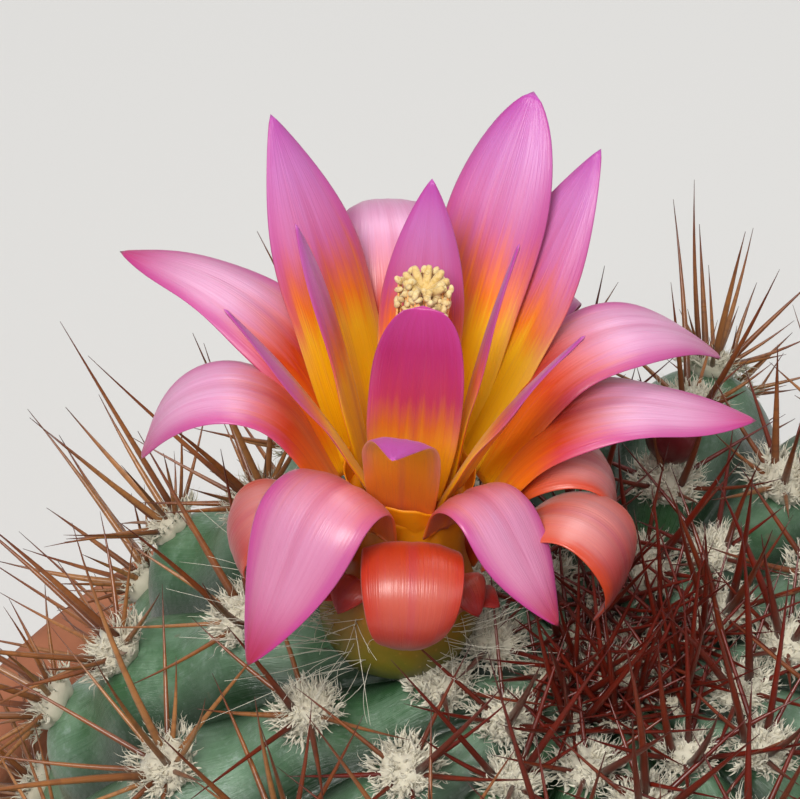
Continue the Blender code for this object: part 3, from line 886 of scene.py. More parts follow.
@dataclass(frozen=True)
class Terracotta:
    """Fired clay with throwing marks, and a pale lime bloom that thickens towards the foot."""

    clay: Color = (0.47, 0.185, 0.095)
    pale: Color = (0.62, 0.34, 0.21)
    dark: Color = (0.3, 0.105, 0.055)
    lime: Color = (0.7, 0.58, 0.47)
    pit: Color = (0.2, 0.08, 0.05)

    def make(self) -> bpy.types.Material:
        """Build the material.

        Returns:
            The finished material.
        """
        kit = Nodes("terracotta", specular_ior_level=0.25)
        where = kit.place()
        cloud = kit.noise(where, 34.0, 5.0, 0.6)
        grit = kit.noise(where, 900.0, 3.0, 0.7)
        stretched = kit.node("ShaderNodeMapping", {}, {"Vector": where, "Scale": (6.0, 6.0, 260.0)})
        lines = kit.noise(stretched.outputs[0], 1.0, 3.0, 0.6)
        color = kit.mix(cloud.span(0.35, 0.7), self.clay, self.dark)
        color = kit.mix(lines.span(0.5, 0.72) * 0.35, color, self.pale)
        height = Value(kit, kit.node("ShaderNodeSeparateXYZ", {}, {"Vector": where}).outputs["Z"])
        lime = kit.noise(where, 26.0, 7.0, 0.68) + 0.5 * lines - 0.25
        lime = lime.span(0.46, 0.8) * (0.25 + height.span(0.055, 0.01))
        color = kit.mix(lime * 0.6, color, self.lime)
        color = kit.mix(grit.span(0.62, 0.75) * 0.35, color, self.pit)
        return kit.drive(color, 0.78 + 0.18 * cloud, lines * 0.5 + grit * 0.5, 0.5, 0.25)


@dataclass(frozen=True)
class Soil:
    """Dark gritty potting mix."""

    dark: Color = (0.028, 0.019, 0.012)
    pale: Color = (0.11, 0.075, 0.047)
    fibre: Color = (0.26, 0.2, 0.14)

    def make(self) -> bpy.types.Material:
        """Build the material.

        Returns:
            The finished material.
        """
        kit = Nodes("potting_soil", roughness=0.95, specular_ior_level=0.2)
        where = kit.place()
        crumb = kit.noise(where, 420.0, 6.0, 0.75)
        fibre = kit.cells(where, 700.0)
        color = kit.mix(crumb.span(0.35, 0.65), self.dark, self.pale)
        color = kit.mix(fibre.span(0.2, 0.05) * 0.5, color, self.fibre)
        return kit.drive(color, None, crumb, 0.8, 1.0)


@dataclass(frozen=True)
class Grit:
    """Mixed mineral top dressing: lava, tan gravel and pumice by grain."""

    stops: Ramp = ((0.0, (0.13, 0.055, 0.035)), (0.3, (0.24, 0.17, 0.12)), (0.55, (0.42, 0.33, 0.23)),
                   (0.8, (0.5, 0.46, 0.4)), (1.0, (0.66, 0.62, 0.55)))
    dirt: Color = (0.12, 0.09, 0.06)

    def make(self) -> bpy.types.Material:
        """Build the material.

        Returns:
            The finished material.
        """
        kit = Nodes("grit", roughness=0.9, specular_ior_level=0.3)
        where = kit.place()
        tone = kit.number("tone")
        pits = kit.cells(where, 1500.0)
        cloud = kit.noise(where, 800.0, 3.0, 0.6)
        color = kit.mix(cloud.span(0.4, 0.7) * 0.35, kit.ramp(tone, self.stops), self.dirt)
        return kit.drive(color, None, pits * 0.5 + cloud * 0.5, 0.7, 0.3)


class Spot(NamedTuple):
    """A place on a rib's crest, with its directions out, sideways and down the rib."""

    point: Array
    normal: Array
    side: Array
    down: Array


@dataclass
class Stem:
    """The ribbed stem: a superellipse turned round Z and cut by sharp furrows.

    The rib crest follows (r / radius)^p + (h / height)^p = 1 above and below
    the waist, with a dip at the crown.  Distances run along the crest from
    the middle of the crown.
    """

    radius: float = 46.0
    waist: float = 106.0
    upper: float = 36.5
    lower: float = 44.0
    upper_power: float = 2.65
    lower_power: float = 2.2
    dip: float = 2.7
    dip_radius: float = 9.0
    ribs: int = 16
    phase: float = 166.0
    depth: float = 6.2
    soil_level: float = 80.0
    chin: float = 1.7
    rows: int = 250
    columns: int = 24
    even_rows: tuple[float, ...] = (9.5, 18.0, 28.5, 41.0, 52.5, 64.0, 75.5)
    odd_rows: tuple[float, ...] = (13.0, 23.0, 34.5, 47.0, 58.5, 70.0, 81.0)

    def crest(self) -> tuple[Array, Array, Array]:
        """The rib crest from the crown to the root end.

        Returns:
            Distance, radius and height of 1199 points.
        """
        top = np.linspace(pi / 2, 0, 600)
        low = np.linspace(0, pi / 2, 600)[1:]
        r = self.radius * np.concatenate([
            np.cos(top).clip(0) ** (2 / self.upper_power),
            np.cos(low).clip(0) ** (2 / self.lower_power),
        ])
        z = self.waist + np.concatenate([
            self.upper * np.sin(top) ** (2 / self.upper_power),
            -self.lower * np.sin(low) ** (2 / self.lower_power),
        ])
        z = np.where(z > self.waist, z - self.dip * np.exp(-((r / self.dip_radius) ** 2)), z)
        along = np.concatenate([[0], np.cumsum(np.hypot(np.diff(r), np.diff(z)))])
        return along, r, z

    def crest_at(self, distance: Any) -> tuple[Array, Array, Array, Array]:
        """Radius, height and outward normal of the crest.

        Args:
            distance: distance or distances along the crest.

        Returns:
            Radius, height, and the normal's radial and upward parts.
        """
        along, r, z = self.crest()
        ahead = np.add(distance, 0.4)
        behind = np.subtract(distance, 0.4)
        run_r = np.interp(ahead, along, r) - np.interp(behind, along, r)
        run_z = np.interp(ahead, along, z) - np.interp(behind, along, z)
        run = np.hypot(run_r, run_z)
        return np.interp(distance, along, r), np.interp(distance, along, z), -run_z / run, run_r / run

    def rib_rows(self, rib: int) -> tuple[float, ...]:
        """Distances of the areoles on a rib; odd ribs sit half a step lower."""
        return self.even_rows if rib % 2 == 0 else self.odd_rows

    def spot(self, rib: float, distance: float) -> Spot:
        """The place on a rib's crest at a distance from the crown.

        Args:
            rib: rib number, which may be a fraction.
            distance: distance along the crest.

        Returns:
            The point with its directions.
        """
        r, z, out_r, out_z = self.crest_at(distance)
        angle = radians(self.phase + rib * 360 / self.ribs)
        out = np.array([cos(angle), sin(angle), 0.0])
        side = np.array([-sin(angle), cos(angle), 0.0])
        up = np.array([0.0, 0.0, 1.0])
        normal = out * out_r + up * out_z
        return Spot(out * r + up * z, normal, side, np.cross(side, normal))

    def surface(self, distances: Array, angles: Array) -> tuple[Array, Array, Array]:
        """The skin as a function of crest distance and angle.

        A point is crest - normal * (depth * |u|^(2.2 / pinch) + chin * dip),
        where u runs from -1 to 1 between two furrows. The chin dip is deepest
        halfway between two areoles and fades out towards the furrow. There
        the pinch is greatest as well, which makes the rib narrower.

        Args:
            distances: distances along the crest, one per ring.
            angles: angles round Z from rib 0, in turns of one rib.

        Returns:
            Points, furrow depth from 0 to 1, and height above the soil.
        """
        r, z, out_r, out_z = self.crest_at(distances)
        fade = smooth(z, self.soil_level + 1.0, self.soil_level + 13.0)
        depth = self.depth * (r / self.radius) ** 0.8 * fade
        rib = np.round(angles)
        u = np.abs(angles - rib) * 2
        rows = [np.interp(distances, self.rib_rows(k), np.arange(7.0), left=0.0, right=6.0) for k in (0, 1)]
        phase = np.where((rib.astype(int) % 2 == 0)[None], rows[0][:, None], rows[1][:, None])
        wave = 0.5 - 0.5 * np.cos(2 * pi * (phase - 0.1))
        cover = smooth(distances, 6.0, 20.0) * fade
        notch = self.chin * wave * cover[:, None] * (1 - u ** 1.6)[None]
        pinch = 1 + 0.25 * wave * cover[:, None]
        cut = depth[:, None] * u[None] ** (2.2 / pinch) + notch
        turn = radians(self.phase) + angles * 2 * pi / self.ribs
        rr = r[:, None] - cut * out_r[:, None]
        zz = z[:, None] - cut * out_z[:, None]
        points = np.stack([rr * np.cos(turn), rr * np.sin(turn), zz], axis=-1)
        waves = ripple(points, 17.0, 5) * cover[:, None]
        points += 0.16 * waves[..., None] * unit(points - [0, 0, 100.0])
        level = np.clip((zz - self.soil_level) / 62.0, 0, 1)
        return points, np.broadcast_to(u ** 1.6, rr.shape) * fade[:, None], level

    def build(self) -> None:
        """Build the skin from the root end up to the crown."""
        along, _, z = self.crest()
        stops = np.linspace(along[-1] - 0.6, 0.5, self.rows)
        angles = np.arange(self.ribs * self.columns) / self.columns
        points, furrow, level = self.surface(stops, angles)
        turn = np.sin(angles * 2 * pi / self.ribs) + 1.3 * np.abs(angles - np.round(angles))
        shell = Shell()
        # The furrow numbers drive the painted shade in the furrows.
        shell.loft(points, np.array([0, 0, z[-1]]), np.array([0, 0, z[0]]), furrow=furrow, level=level,
                   turn=turn[None], run=(stops / along[-1])[:, None])
        shell.make("stem_skin_ribs", StemSkin().make(), ["cactus_stem"], "stem_skin")


@dataclass(frozen=True)
class Tepal:
    """One tepal, as it stands in the CAD frame.

    rise and offset place its base from the tube's rim and neck; lean is its
    angle from the flower axis at the base and at the tip.
    """

    name: str
    azimuth: float
    rise: float
    offset: float
    length: float
    width: float
    lean: tuple[float, float]
    bend: tuple[float, float] = (0.0, 1.0)
    dye: Dye = Dye.UPRIGHT
    widest: float = 0.5
    tip_power: float = 1.8
    tip_round: float = 0.9
    yaw: float = 0.0
    foot: float = 0.7


TEPALS = (
    Tepal("back_left", 133, 0.8, 0.5, 26, 7.8, (22, 36)),
    Tepal("left_high", 149, 0.0, 1.2, 26, 7.4, (22, 102), (0.0, 0.95), dye=Dye.ARCHED),
    Tepal("left_arched", 181.5, -0.3, 1.6, 22.8, 7.8, (28, 166), (0.2, 0.98), dye=Dye.ARCHED),
    Tepal("inner_left", 174, 1.3, -0.3, 21.5, 5.0, (12, 22), yaw=-3),
    Tepal("inner_low_left", 205, 0.8, -0.3, 23, 5.5, (28, 36)),
    Tepal("back_arched", 98, -0.2, 1.7, 26, 8.2, (25, 145), (0.3, 1.0), dye=Dye.ARCHED),
    Tepal("inner_back", 88, 1.8, -0.9, 21.5, 6.0, (5, 14)),
    Tepal("inner_front", 267, 1.3, -0.9, 17.5, 6.6, (8, -4), tip_power=2.8, tip_round=0.4, dye=Dye.THROAT),
    Tepal("back_right", 64, 0.8, 0.5, 27, 7.5, (22, 36), widest=0.62, tip_power=2.2, tip_round=0.75),
    Tepal("right_high", 46, 0.4, 0.9, 25, 7.0, (28, 38)),
    Tepal("inner_right", 350, 1.3, -0.3, 22, 4.5, (5, 12)),
    Tepal("inner_low_right", 329, 0.8, -0.1, 21, 5.5, (21, 32)),
    Tepal("right_arched", 23.2, 0.0, 2.0, 26, 7.6, (24.4, 136), (0.1, 1.0), dye=Dye.ARCHED),
    Tepal("right_level", 4, -0.7, 2.25, 23.2, 7.6, (27, 101), (0.1, 0.75), dye=Dye.ARCHED),
    Tepal("right_behind", 52, -1.2, 2.4, 21, 6.4, (31, 155), (0.35, 1.0), dye=Dye.ARCHED),
    Tepal("inner_scale", 262, 0.3, -0.1, 18.6, 5.5, (25, 76), (0.45, 1.0), dye=Dye.TONGUE, foot=0.8),
    Tepal("front_left", 232, -1.0, 1.1, 22.8, 8.2, (20, 150), (0.12, 0.62), dye=Dye.FALLING),
    Tepal("left_curled", 195, -5.6, 1.5, 18, 7.0, (30, 215), (0.15, 0.9), dye=Dye.CURLED),
    Tepal("front_right", 308, -0.6, 0.9, 17.3, 6.2, (19, 138), (0.12, 0.6), yaw=9, dye=Dye.FALLING),
    Tepal("right_curled", 336, -3.2, 3.4, 20.8, 6.9, (35, 204), (0.15, 0.9), dye=Dye.CURLED),
    Tepal("right_curled_behind", 1.5, -1.8, 2.1, 19.5, 6.3, (35, 204), (0.12, 0.9), dye=Dye.CURLED),
    Tepal("front_curled", 271, -5.2, 1.5, 22, 7.2, (15, 230), (0.1, 0.95), dye=Dye.EMBER),
)

SCALES = (
    Tepal("scale_a", 238, -6.2, 1.9, 5.5, 3.4, (20, 150), (0.1, 0.9), Dye.EMBER, foot=0.7),
    Tepal("scale_b", 306, -6.0, 1.9, 6.0, 3.6, (20, 150), (0.1, 0.9), Dye.EMBER, foot=0.7),
    Tepal("scale_c", 214, -8.6, 2.2, 4.5, 3.0, (12, 110), (0.1, 0.9), Dye.EMBER, foot=0.7),
    Tepal("scale_d", 324, -8.4, 2.2, 4.5, 3.0, (12, 110), (0.1, 0.9), Dye.EMBER, foot=0.7),
    Tepal("scale_f", 176, -9.6, 2.3, 4.0, 2.8, (8, 95), (0.1, 0.9), Dye.EMBER, foot=0.7),
    Tepal("scale_g", 150, -6.6, 1.8, 5.5, 3.4, (14, 110), (0.1, 0.9), Dye.EMBER, foot=0.6),
    Tepal("scale_h", 112, -8.6, 2.1, 4.5, 3.0, (10, 100), (0.1, 0.9), Dye.EMBER, foot=0.7),
    Tepal("scale_i", 72, -6.6, 1.8, 5.5, 3.4, (14, 110), (0.1, 0.9), Dye.EMBER, foot=0.6),
    Tepal("scale_j", 28, -8.8, 2.1, 4.5, 3.0, (10, 100), (0.1, 0.9), Dye.EMBER, foot=0.7),
)


@dataclass
class Flower:
    """The open flower: tube, tepals, scales, hairs, style and stamens."""

    stem: Stem
    row: float = 16.5
    turn: float = 3.4
    sink: float = 1.2
    tilt: tuple[float, float, float] = (0.062, 0.189, 0.980)
    rim: float = 15.2
    neck: float = 3.3
    bulge: float = 5.9
    throat: float = 4.2
    start: float = -0.4
    floor: float = 8.0
    stigma: float = 34.0
    cup: float = 1.6
    lobes: int = 9
    stamens: int = 96
    hairs: int = 190
    shaggy: float = 215.0

    def axis(self) -> Array:
        """Unit direction of the flower."""
        return unit(np.array(self.tilt))

    def base(self) -> Array:
        """Point from which heights run along the axis."""
        r, z, _, _ = self.stem.crest_at(self.row)
        angle = radians(self.stem.phase + self.turn)
        return np.array([r * cos(angle), r * sin(angle), z - self.sink])

    def blade(self, tepal: Tepal, steps: int, across: Array) -> tuple[Array, Array, Array]:
        """The middle surface of a tepal.

        Its midrib leaves the base at the first lean and turns to the second;
        a point lies half a width times `across` to the side of the midrib,
        and the edges fall back a little from the flower's middle.

        Args:
            tepal: the tepal.
            steps: stretches along its length.
            across: places across it, from -1 to 1.

        Returns:
            Points by step and place, the outward normal and the half width
            by step.
        """
        axis = self.axis()
        one, two = across_axes(axis)
        azimuth = radians(tepal.azimuth)
        out = cos(azimuth) * one + sin(azimuth) * two
        side = np.cross(axis, out)
        s = np.linspace(0, 1, steps + 1)
        turn = smooth(s, *tepal.bend)
        lean = np.radians(tepal.lean[0] + (tepal.lean[1] - tepal.lean[0]) * turn)
        yaw = radians(tepal.yaw) * s
        way = np.outer(np.cos(lean), axis) + np.outer(np.sin(lean), out)
        way = way * np.cos(yaw)[:, None] + np.outer(np.sin(yaw), side)
        middle = np.zeros((steps + 1, 3))
        middle[1:] = np.cumsum((way[1:] + way[:-1]) / 2, 0) * tepal.length / steps
        middle += self.base() + axis * (self.rim + tepal.rise) + out * (self.neck + tepal.offset)
        flat = unit(side - way * (way @ side)[:, None])
        outward = np.cross(flat, way)
        rise = np.clip(s / tepal.widest, 0, 1)
        fall = np.clip((s - tepal.widest) / (1 - tepal.widest), 0, 1)
        shape = tepal.foot + (1 - tepal.foot) * np.sin(pi / 2 * rise)
        shape = shape * (1 - fall ** tepal.tip_power) ** tepal.tip_round
        half = tepal.width / 2 * shape
        points = middle[:, None] + (half[:, None] * across)[:, :, None] * flat[:, None]
        points = points + (0.15 * half[:, None] * across ** 2)[:, :, None] * outward[:, None]
        return points, outward, half

    def add_blade(self, shell: Shell, tepal: Tepal, seed: int, steps: int = 46, sides: int = 32) -> None:
        """Add a tepal as a thin closed blade.

        Round a section, a place at angle b lies at cos(b) across and sin(b)
        through the thickness.  A groove runs down the inner middle, faint
        ridges run lengthwise and the edges wave a little.

        Args:
            shell: piece that takes it.
            tepal: the tepal.
            seed: choice of its small unevenness.
            steps: stretches along its length.
            sides: points round a section.
        """
        rng = np.random.default_rng(seed)
        turn = around(sides)
        across = np.cos(turn)
        through = np.sin(turn)
        points, outward, half = self.blade(tepal, steps, across)
        s = np.linspace(0, 1, steps + 1)[:, None]
        thick = 0.24 * (1 - 0.45 * s) * np.sign(through) * np.abs(through) ** 0.7
        groove = 0.16 * np.exp(-((across / 0.13) ** 2)) * (1 - s) ** 0.5
        ridges = 0.035 * np.sin(across * 11 + rng.uniform(0, 6)) * np.sin(pi * s)
        wave = 0.07 * half[:, None] * np.abs(across) ** 3 * np.sin(2 * pi * s * rng.uniform(1.2, 2.0)
                                                                 + rng.uniform(0, 6) + across * 1.5)
        bow = 0.12 * np.sin(pi * s) * rng.uniform(-1, 1)
        lift = thick + groove + ridges + wave * smooth(s, 0.15, 0.5) + bow * 0.5
        points = points + lift[:, :, None] * outward[:, None]
        rings = points[:-1]
        tone = rng.uniform(0, 1)
        shell.loft(rings[:, ::-1], rings[0].mean(axis=0), points[-1].mean(axis=0), along=s[:-1],
                   across=across[::-1], face=-through[::-1], tone=tone)

    def build_tepals(self) -> None:
        """Build each tepal as a piece of its own."""
        skins = {dye: finish.make(f"tepal_{dye.value}") for dye, finish in TEPAL_SKINS.items()}
        for number, tepal in enumerate(TEPALS):
            shell = Shell()
            self.add_blade(shell, tepal, number)
            shell.make(f"petal_{tepal.name}", skins[tepal.dye], [f"tepal_{tepal.name}"], "tepal_skin")
        scales = Shell()
        for number, tepal in enumerate(SCALES):
            self.add_blade(scales, tepal, 60 + number, 18, 16)
        scales.make("tube_scales", skins[Dye.EMBER], slot="tepal_skin")

    def tube_profile(self) -> Array:
        """Outer wall up to the rim and back down into the throat.

        Returns:
            Distance from the axis and height of the points, corners rounded.
        """
        corners = [
            (2.4, self.start), (4.6, self.start + 0.8), (self.bulge * 0.97, self.start + 2.8),
            (self.bulge, self.start + 4.8), (self.bulge * 0.93, self.start + 6.8),
            (self.throat * 1.12, self.start + 9.0), (self.throat, self.start + 11.4),
            (self.throat, self.rim - 1.0), (self.throat + 0.1, self.rim),
            (self.throat - 0.8, self.rim + 0.1), (self.throat - 1.4, self.rim - 1.0),
            (1.9, self.floor + 0.5), (1.5, self.floor),
        ]
        return rounded(corners, 1.4, 5, False)

    def build_tube(self) -> None:
        """Build the tube and the cup of fused petal feet that stands in its mouth.

        Both are profiles turned round the axis.  The tube swells by a few
        hundredths in nine low ribs, and the lip of the cup rises and falls.
        """
        profile = self.tube_profile()
        sides = 72
        rings = turned(profile, sides, self.base(), self.axis())
        middle = self.base() + profile[:, 1, None, None] * self.axis()
        turn = around(sides)
        swell = 1 + 0.025 * np.cos(9 * turn)[None] * np.sin(profile[:, 1] / 3)[:, None]
        swell = swell + 0.02 * ripple(rings, 4.0, 31)
        rings = middle + (rings - middle) * swell[:, :, None]
        shell = Shell()
        along = (profile[:, 1, None] - self.start) / (self.rim - self.start)
        shell.loft(rings, middle[0, 0], middle[-1, 0], along=along)
        t = np.linspace(0, 1, 14)
        climb = np.concatenate([t, t[::-1]])
        wall = np.concatenate([np.full(14, 0.09), np.full(14, -0.09)]) * (1 - 0.5 * climb)
        reach = self.throat - 0.5 + 1.0 * climb ** 1.1 + wall
        flare = turned(np.stack([reach, self.rim - 2.0 + (self.cup + 2.0) * climb], axis=1), sides,
                       self.base(), self.axis())
        lobes = 0.25 * np.sin(7 * turn + 1.0) + 0.15 * np.sin(12 * turn)
        flare = flare + (climb ** 2)[:, None, None] * lobes[None, :, None] * self.axis()
        shell.ring_round(flare, along=0.9 + 0.3 * climb[:, None])
        shell.make("tube_wall", TubeSkin().make(), ["flower_tube"], "tube_skin")

    def build_hairs(self, wool: bpy.types.Material) -> None:
        """Build the fine white hairs that grow beside the scales of the tube.

        A hair is start + way * length * t + sweep * t^2, with t from 0 to 1.
        The hairs on the side of the shaggy azimuth are up to 1.9 times longer.

        Args:
            wool: wool material.
        """
        rng = np.random.default_rng(77)
        axis = self.axis()
        one, two = across_axes(axis)
        count = self.hairs
        azimuth = np.radians(rng.choice([t.azimuth for t in SCALES], count) + rng.normal(0, 9, count))
        height = rng.uniform(self.start + 1.0, self.start + 7.0, count)
        out = spokes(azimuth, one, two)
        side = np.cross(axis, out)
        toward = np.clip(np.cos(azimuth - radians(self.shaggy)), 0, 1) ** 4
        length = rng.uniform(2.5, 7.5, count) * (1 + 0.9 * toward)
        t = np.linspace(0, 1, 7)
        start = self.base() + height[:, None] * axis + out * (self.bulge - 0.6)
        way = unit(out + side * rng.normal(0, 0.55, (count, 1)) + axis * rng.uniform(-0.1, 0.8, (count, 1)))
        sweep = side * rng.normal(0, 1.6, (count, 1)) + axis * rng.normal(0.3, 1.0, (count, 1))
        straight = (way * length[:, None])[:, None] * t[:, None]
        paths = start[:, None] + straight + sweep[:, None] * t[:, None] ** 2
        shell = Shell()
        # These hairs get no painted shade.
        shell.strands(paths, 0.035 * (1 - 0.6 * t), 3, age=0.0, depth=0.0)
        shell.make("tube_hairs", wool, slot="wool")

    def build_heart(self) -> None:
        """Build the style with its lobed stigma, and the stamens round it.

        A lobe or a stamen follows base + climb * axis + reach * out.  The reach
        of a lobe goes as sin(t * pi / 2) and the reach of a stamen as t^2, with
        t from 0 at its foot to 1 at its tip.
        """
        axis = self.axis()
        one, two = across_axes(axis)
        base = self.base()
        rng = np.random.default_rng(12)
        style = Shell()
        t = np.linspace(0, 1, 12)
        shaft = base + axis * (self.floor - 0.4 + (self.stigma - self.floor - 1.4) * t)[:, None]
        style.strands(shaft[None], 0.42, 12)
        out = spokes(around(self.lobes), one, two)
        t = np.linspace(0, 1, 9)
        reach = 0.15 + 1.35 * np.sin(t * pi / 2)
        climb = self.stigma - 1.5 + 2.4 * t - 0.9 * t ** 2
        fingers = base + climb[None, :, None] * axis + reach[None, :, None] * out[:, None]
        style.strands(fingers, 0.3 * (1.05 - t ** 4 * 0.55), 8)
        style.make("style_and_stigma", Mealy("stigma", (0.72, 0.52, 0.22), (0.55, 0.36, 0.1)).make(),
                   ["style"], "pollen")
        count = self.stamens
        azimuth = rng.uniform(0, 2 * pi, count)
        out = spokes(azimuth, one, two)
        top = self.stigma + rng.uniform(-2.2, -0.1, count)
        spread = rng.uniform(1.0, 1.95, count)
        t = np.linspace(0, 1, 9)
        climb = self.floor + 0.6 + (top - self.floor - 0.6)[:, None] * t
        reach = 1.2 + (spread - 1.2)[:, None] * t ** 2
        paths = base + climb[:, :, None] * axis + reach[:, :, None] * out[:, None]
        threads = Shell()
        threads.strands(paths, 0.075, 4)
        threads.make("stamen_threads", Mealy("filament", (0.9, 0.5, 0.16), (0.85, 0.3, 0.1)).make(),
                     ["stamens"], "filament")
        ways = random_turns(rng, count)
        sizes = np.stack([rng.uniform(0.3, 0.42, count), rng.uniform(0.2, 0.27, count),
                          rng.uniform(0.18, 0.24, count)], axis=1)
        anthers = Shell()
        anthers.grains(paths[:, -1], ways, sizes)
        anthers.make("anthers", Mealy("anther", (0.78, 0.62, 0.32), (0.6, 0.4, 0.14)).make(), slot="pollen")

    def build(self, wool: bpy.types.Material) -> None:
        """Build the whole flower.

        Args:
            wool: wool material.
        """
        self.build_tube()
        self.build_tepals()
        self.build_hairs(wool)
        self.build_heart()

    def guard(self) -> Array:
        """Points over the tube and all tepals and scales, to keep spines clear of them.

        Returns:
            One row per point.
        """
        across = np.linspace(-1, 1, 5)
        blades = [self.blade(t, 14, across)[0].reshape(-1, 3) for t in TEPALS + SCALES]
        rings = turned(self.tube_profile(), 16, self.base(), self.axis()).reshape(-1, 3)
        return np.concatenate([*blades, rings])


class Fibre(NamedTuple):
    """A kind of wool fibre.

    Its lengths are in radii of the tuft and its own radii in millimetres,
    each from the least to the greatest.
    """

    reach: tuple[float, float]
    girth: tuple[float, float]
    sides: int


LOCK = Fibre((0.22, 0.42), (0.1, 0.17), 4)
FINE = Fibre((0.25, 0.62), (0.035, 0.06), 3)


class Spines(NamedTuple):
    """Spines, a row each: a spine follows start + way * t + bend * t^2."""

    start: Array
    way: Array
    bend: Array
    foot: Array
    tone: Array
    age: Array

    @classmethod
    def joined(cls, sets: Sequence["Spines"]) -> "Spines":
        """The spines of several sets, in order."""
        return cls(*(np.concatenate(part) for part in zip(*sets)))


@dataclass
class Areoles:
    """Woolly pads with their spines, on every rib and in the crown."""

    stem: Stem
    flower: Flower
    pad: float = 2.9
    reach_limit: float = 68.0
    clearance: float = 1.3
    bare: float = 5.0
    young: float = 14.0
    old: float = 34.0

    def age(self, distance: float) -> float:
        """Age of an areole from 0 in the crown to 1 on the shoulder."""
        return float(np.clip((distance - self.young) / (self.old - self.young), 0, 1))

    def tuft(self, shell: Shell, spot: Spot, radius: float, count: int, age: float,
             rng: np.random.Generator) -> None:
        """Add one tuft: a small cushion, thick wavy locks and fine curled fibres.

        The cushion is a domed stack of seven rings, made lumpy by a ripple.

        Args:
            shell: piece that takes it.
            spot: place of the tuft.
            radius: radius of the tuft.
            count: number of fine fibres; there are about half as many locks.
            age: from 0 for fresh wool to 1 for old.
            rng: source of the unevenness.
        """
        point, normal, side, down = spot
        flat = spokes(-around(20), side, down)
        reach = np.array([0.5, 0.7, 0.72, 0.64, 0.5, 0.34, 0.17]) * radius
        rise = np.array([-0.5, -0.1, 0.22, 0.5, 0.7, 0.84, 0.9]) * radius * 0.5
        rings = point + reach[:, None, None] * flat + rise[:, None, None] * normal
        rings = rings + 0.34 * ripple(rings, 1.2, int(rng.integers(1e6)))[..., None] * (normal + 0.5 * flat)
        # The depth number sets the painted shade: half strength over the cushion.
        shell.loft(rings, point - normal * radius * 0.35, rings[-1].mean(axis=0) + normal * 0.05,
                   age=age, depth=0.5)
        self.fibres(shell, spot, radius, int(count * 0.55), age, LOCK, rng)
        self.fibres(shell, spot, radius, count, age, FINE, rng)

    def fibres(self, shell: Shell, spot: Spot, radius: float, count: int, age: float, kind: Fibre,
               rng: np.random.Generator) -> None:
        """Add curled hairs over a dome.

        A hair follows start + way * length * t plus a curl of
        a * t * sin(w * t + p) to one side and a * t * cos(w * t + p) to the
        other, in steps of t from 0 to 1.

        Args:
            shell: piece that takes them.
            spot: place of the dome.
            radius: radius of the dome.
            count: number of hairs.
            age: from 0 for fresh wool to 1 for old.
            kind: size and sides of the hairs.
            rng: source of the unevenness.
        """
        point, normal, side, down = spot
        place = radius * np.sqrt(rng.uniform(0, 1, count)) * 0.92
        angle = rng.uniform(0, 2 * pi, count)
        off = spokes(angle, side, down)
        dome = 0.36 * radius * (1 - (place / radius) ** 2)
        start = point + off * place[:, None] + normal * dome[:, None]
        spread = (0.15 + 0.85 * place / radius)[:, None]
        way = unit(normal * rng.uniform(0.35, 1.0, (count, 1)) + off * spread
                   + rng.normal(0, 0.45, (count, 3)))
        length = radius * rng.uniform(*kind.reach, count)
        curl = np.cross(way, unit(rng.normal(size=(count, 3))))
        other = np.cross(way, curl)
        t = np.linspace(0, 1, 6)
        swing = rng.uniform(0.06, 0.24, (count, 1)) * length[:, None] * t
        phase = rng.uniform(0, 2 * pi, (count, 1))
        speed = rng.uniform(2.5, 7.0, (count, 1))
        paths = (start[:, None] + (way * length[:, None])[:, None] * t[:, None]
                 + (swing * np.sin(speed * t + phase))[..., None] * curl[:, None]
                 + (swing * np.cos(speed * t + phase))[..., None] * other[:, None])
        radii = rng.uniform(*kind.girth, (count, 1)) * np.clip(1.05 - t ** 2, 0.15, 1)
        # Painted shade strongest at the root of each hair, fading to none at its tip.
        shell.strands(paths, radii, kind.sides, age=age, depth=0.9 * (1 - t) ** 1.5)

    def spines_of(self, spot: Spot, age: float, rng: np.random.Generator) -> Spines:
        """Work out the spines of one areole.

        Radial spines spread round the pad at a low angle and central spines
        stand up; each bends a little.

        Args:
            spot: place of the areole.
            age: from 0 in the crown to 1 on the shoulder.
            rng: source of the unevenness.

        Returns:
            The spines, the radial ones first.
        """
        point, normal, side, down = spot
        radial = round(rng.integers(9, 12) * (0.62 + 0.38 * age))
        central = round(rng.integers(3, 6) * (0.7 + 0.3 * age))
        ring, inner = (
            2 * pi * (np.arange(number) + rng.uniform(-stray, stray, number)) / number + rng.uniform(0, 6)
            for number, stray in ((radial, 0.25), (central, 0.2)))
        rise = np.radians(np.concatenate([rng.uniform(16, 44, radial), rng.uniform(55, 84, central)]))
        turn = np.concatenate([ring, inner])
        length = np.concatenate([rng.uniform(8.0, 14.5, radial), rng.uniform(14.0, 22.0, central)])
        length *= (0.8 + 0.2 * age) * (1 - 0.45 * np.clip(point[1] / self.stem.radius, 0, 1))
        out = spokes(turn, side, down)
        way = out * np.cos(rise)[:, None] + normal * np.sin(rise)[:, None]
        count = radial + central
        start = point + out * rng.uniform(0.3, 1.2, (count, 1)) + normal * 0.2
        bend = normal * rng.uniform(-0.4, 1.8, (count, 1)) + rng.normal(0, 0.7, (count, 3))
        bend = bend * length[:, None] / 14
        foot = np.concatenate([rng.uniform(0.19, 0.27, radial), rng.uniform(0.27, 0.36, central)])
        tone = rng.uniform(0, 1, count)
        return Spines(start, way * length[:, None], bend, foot, tone, np.full(count, age))

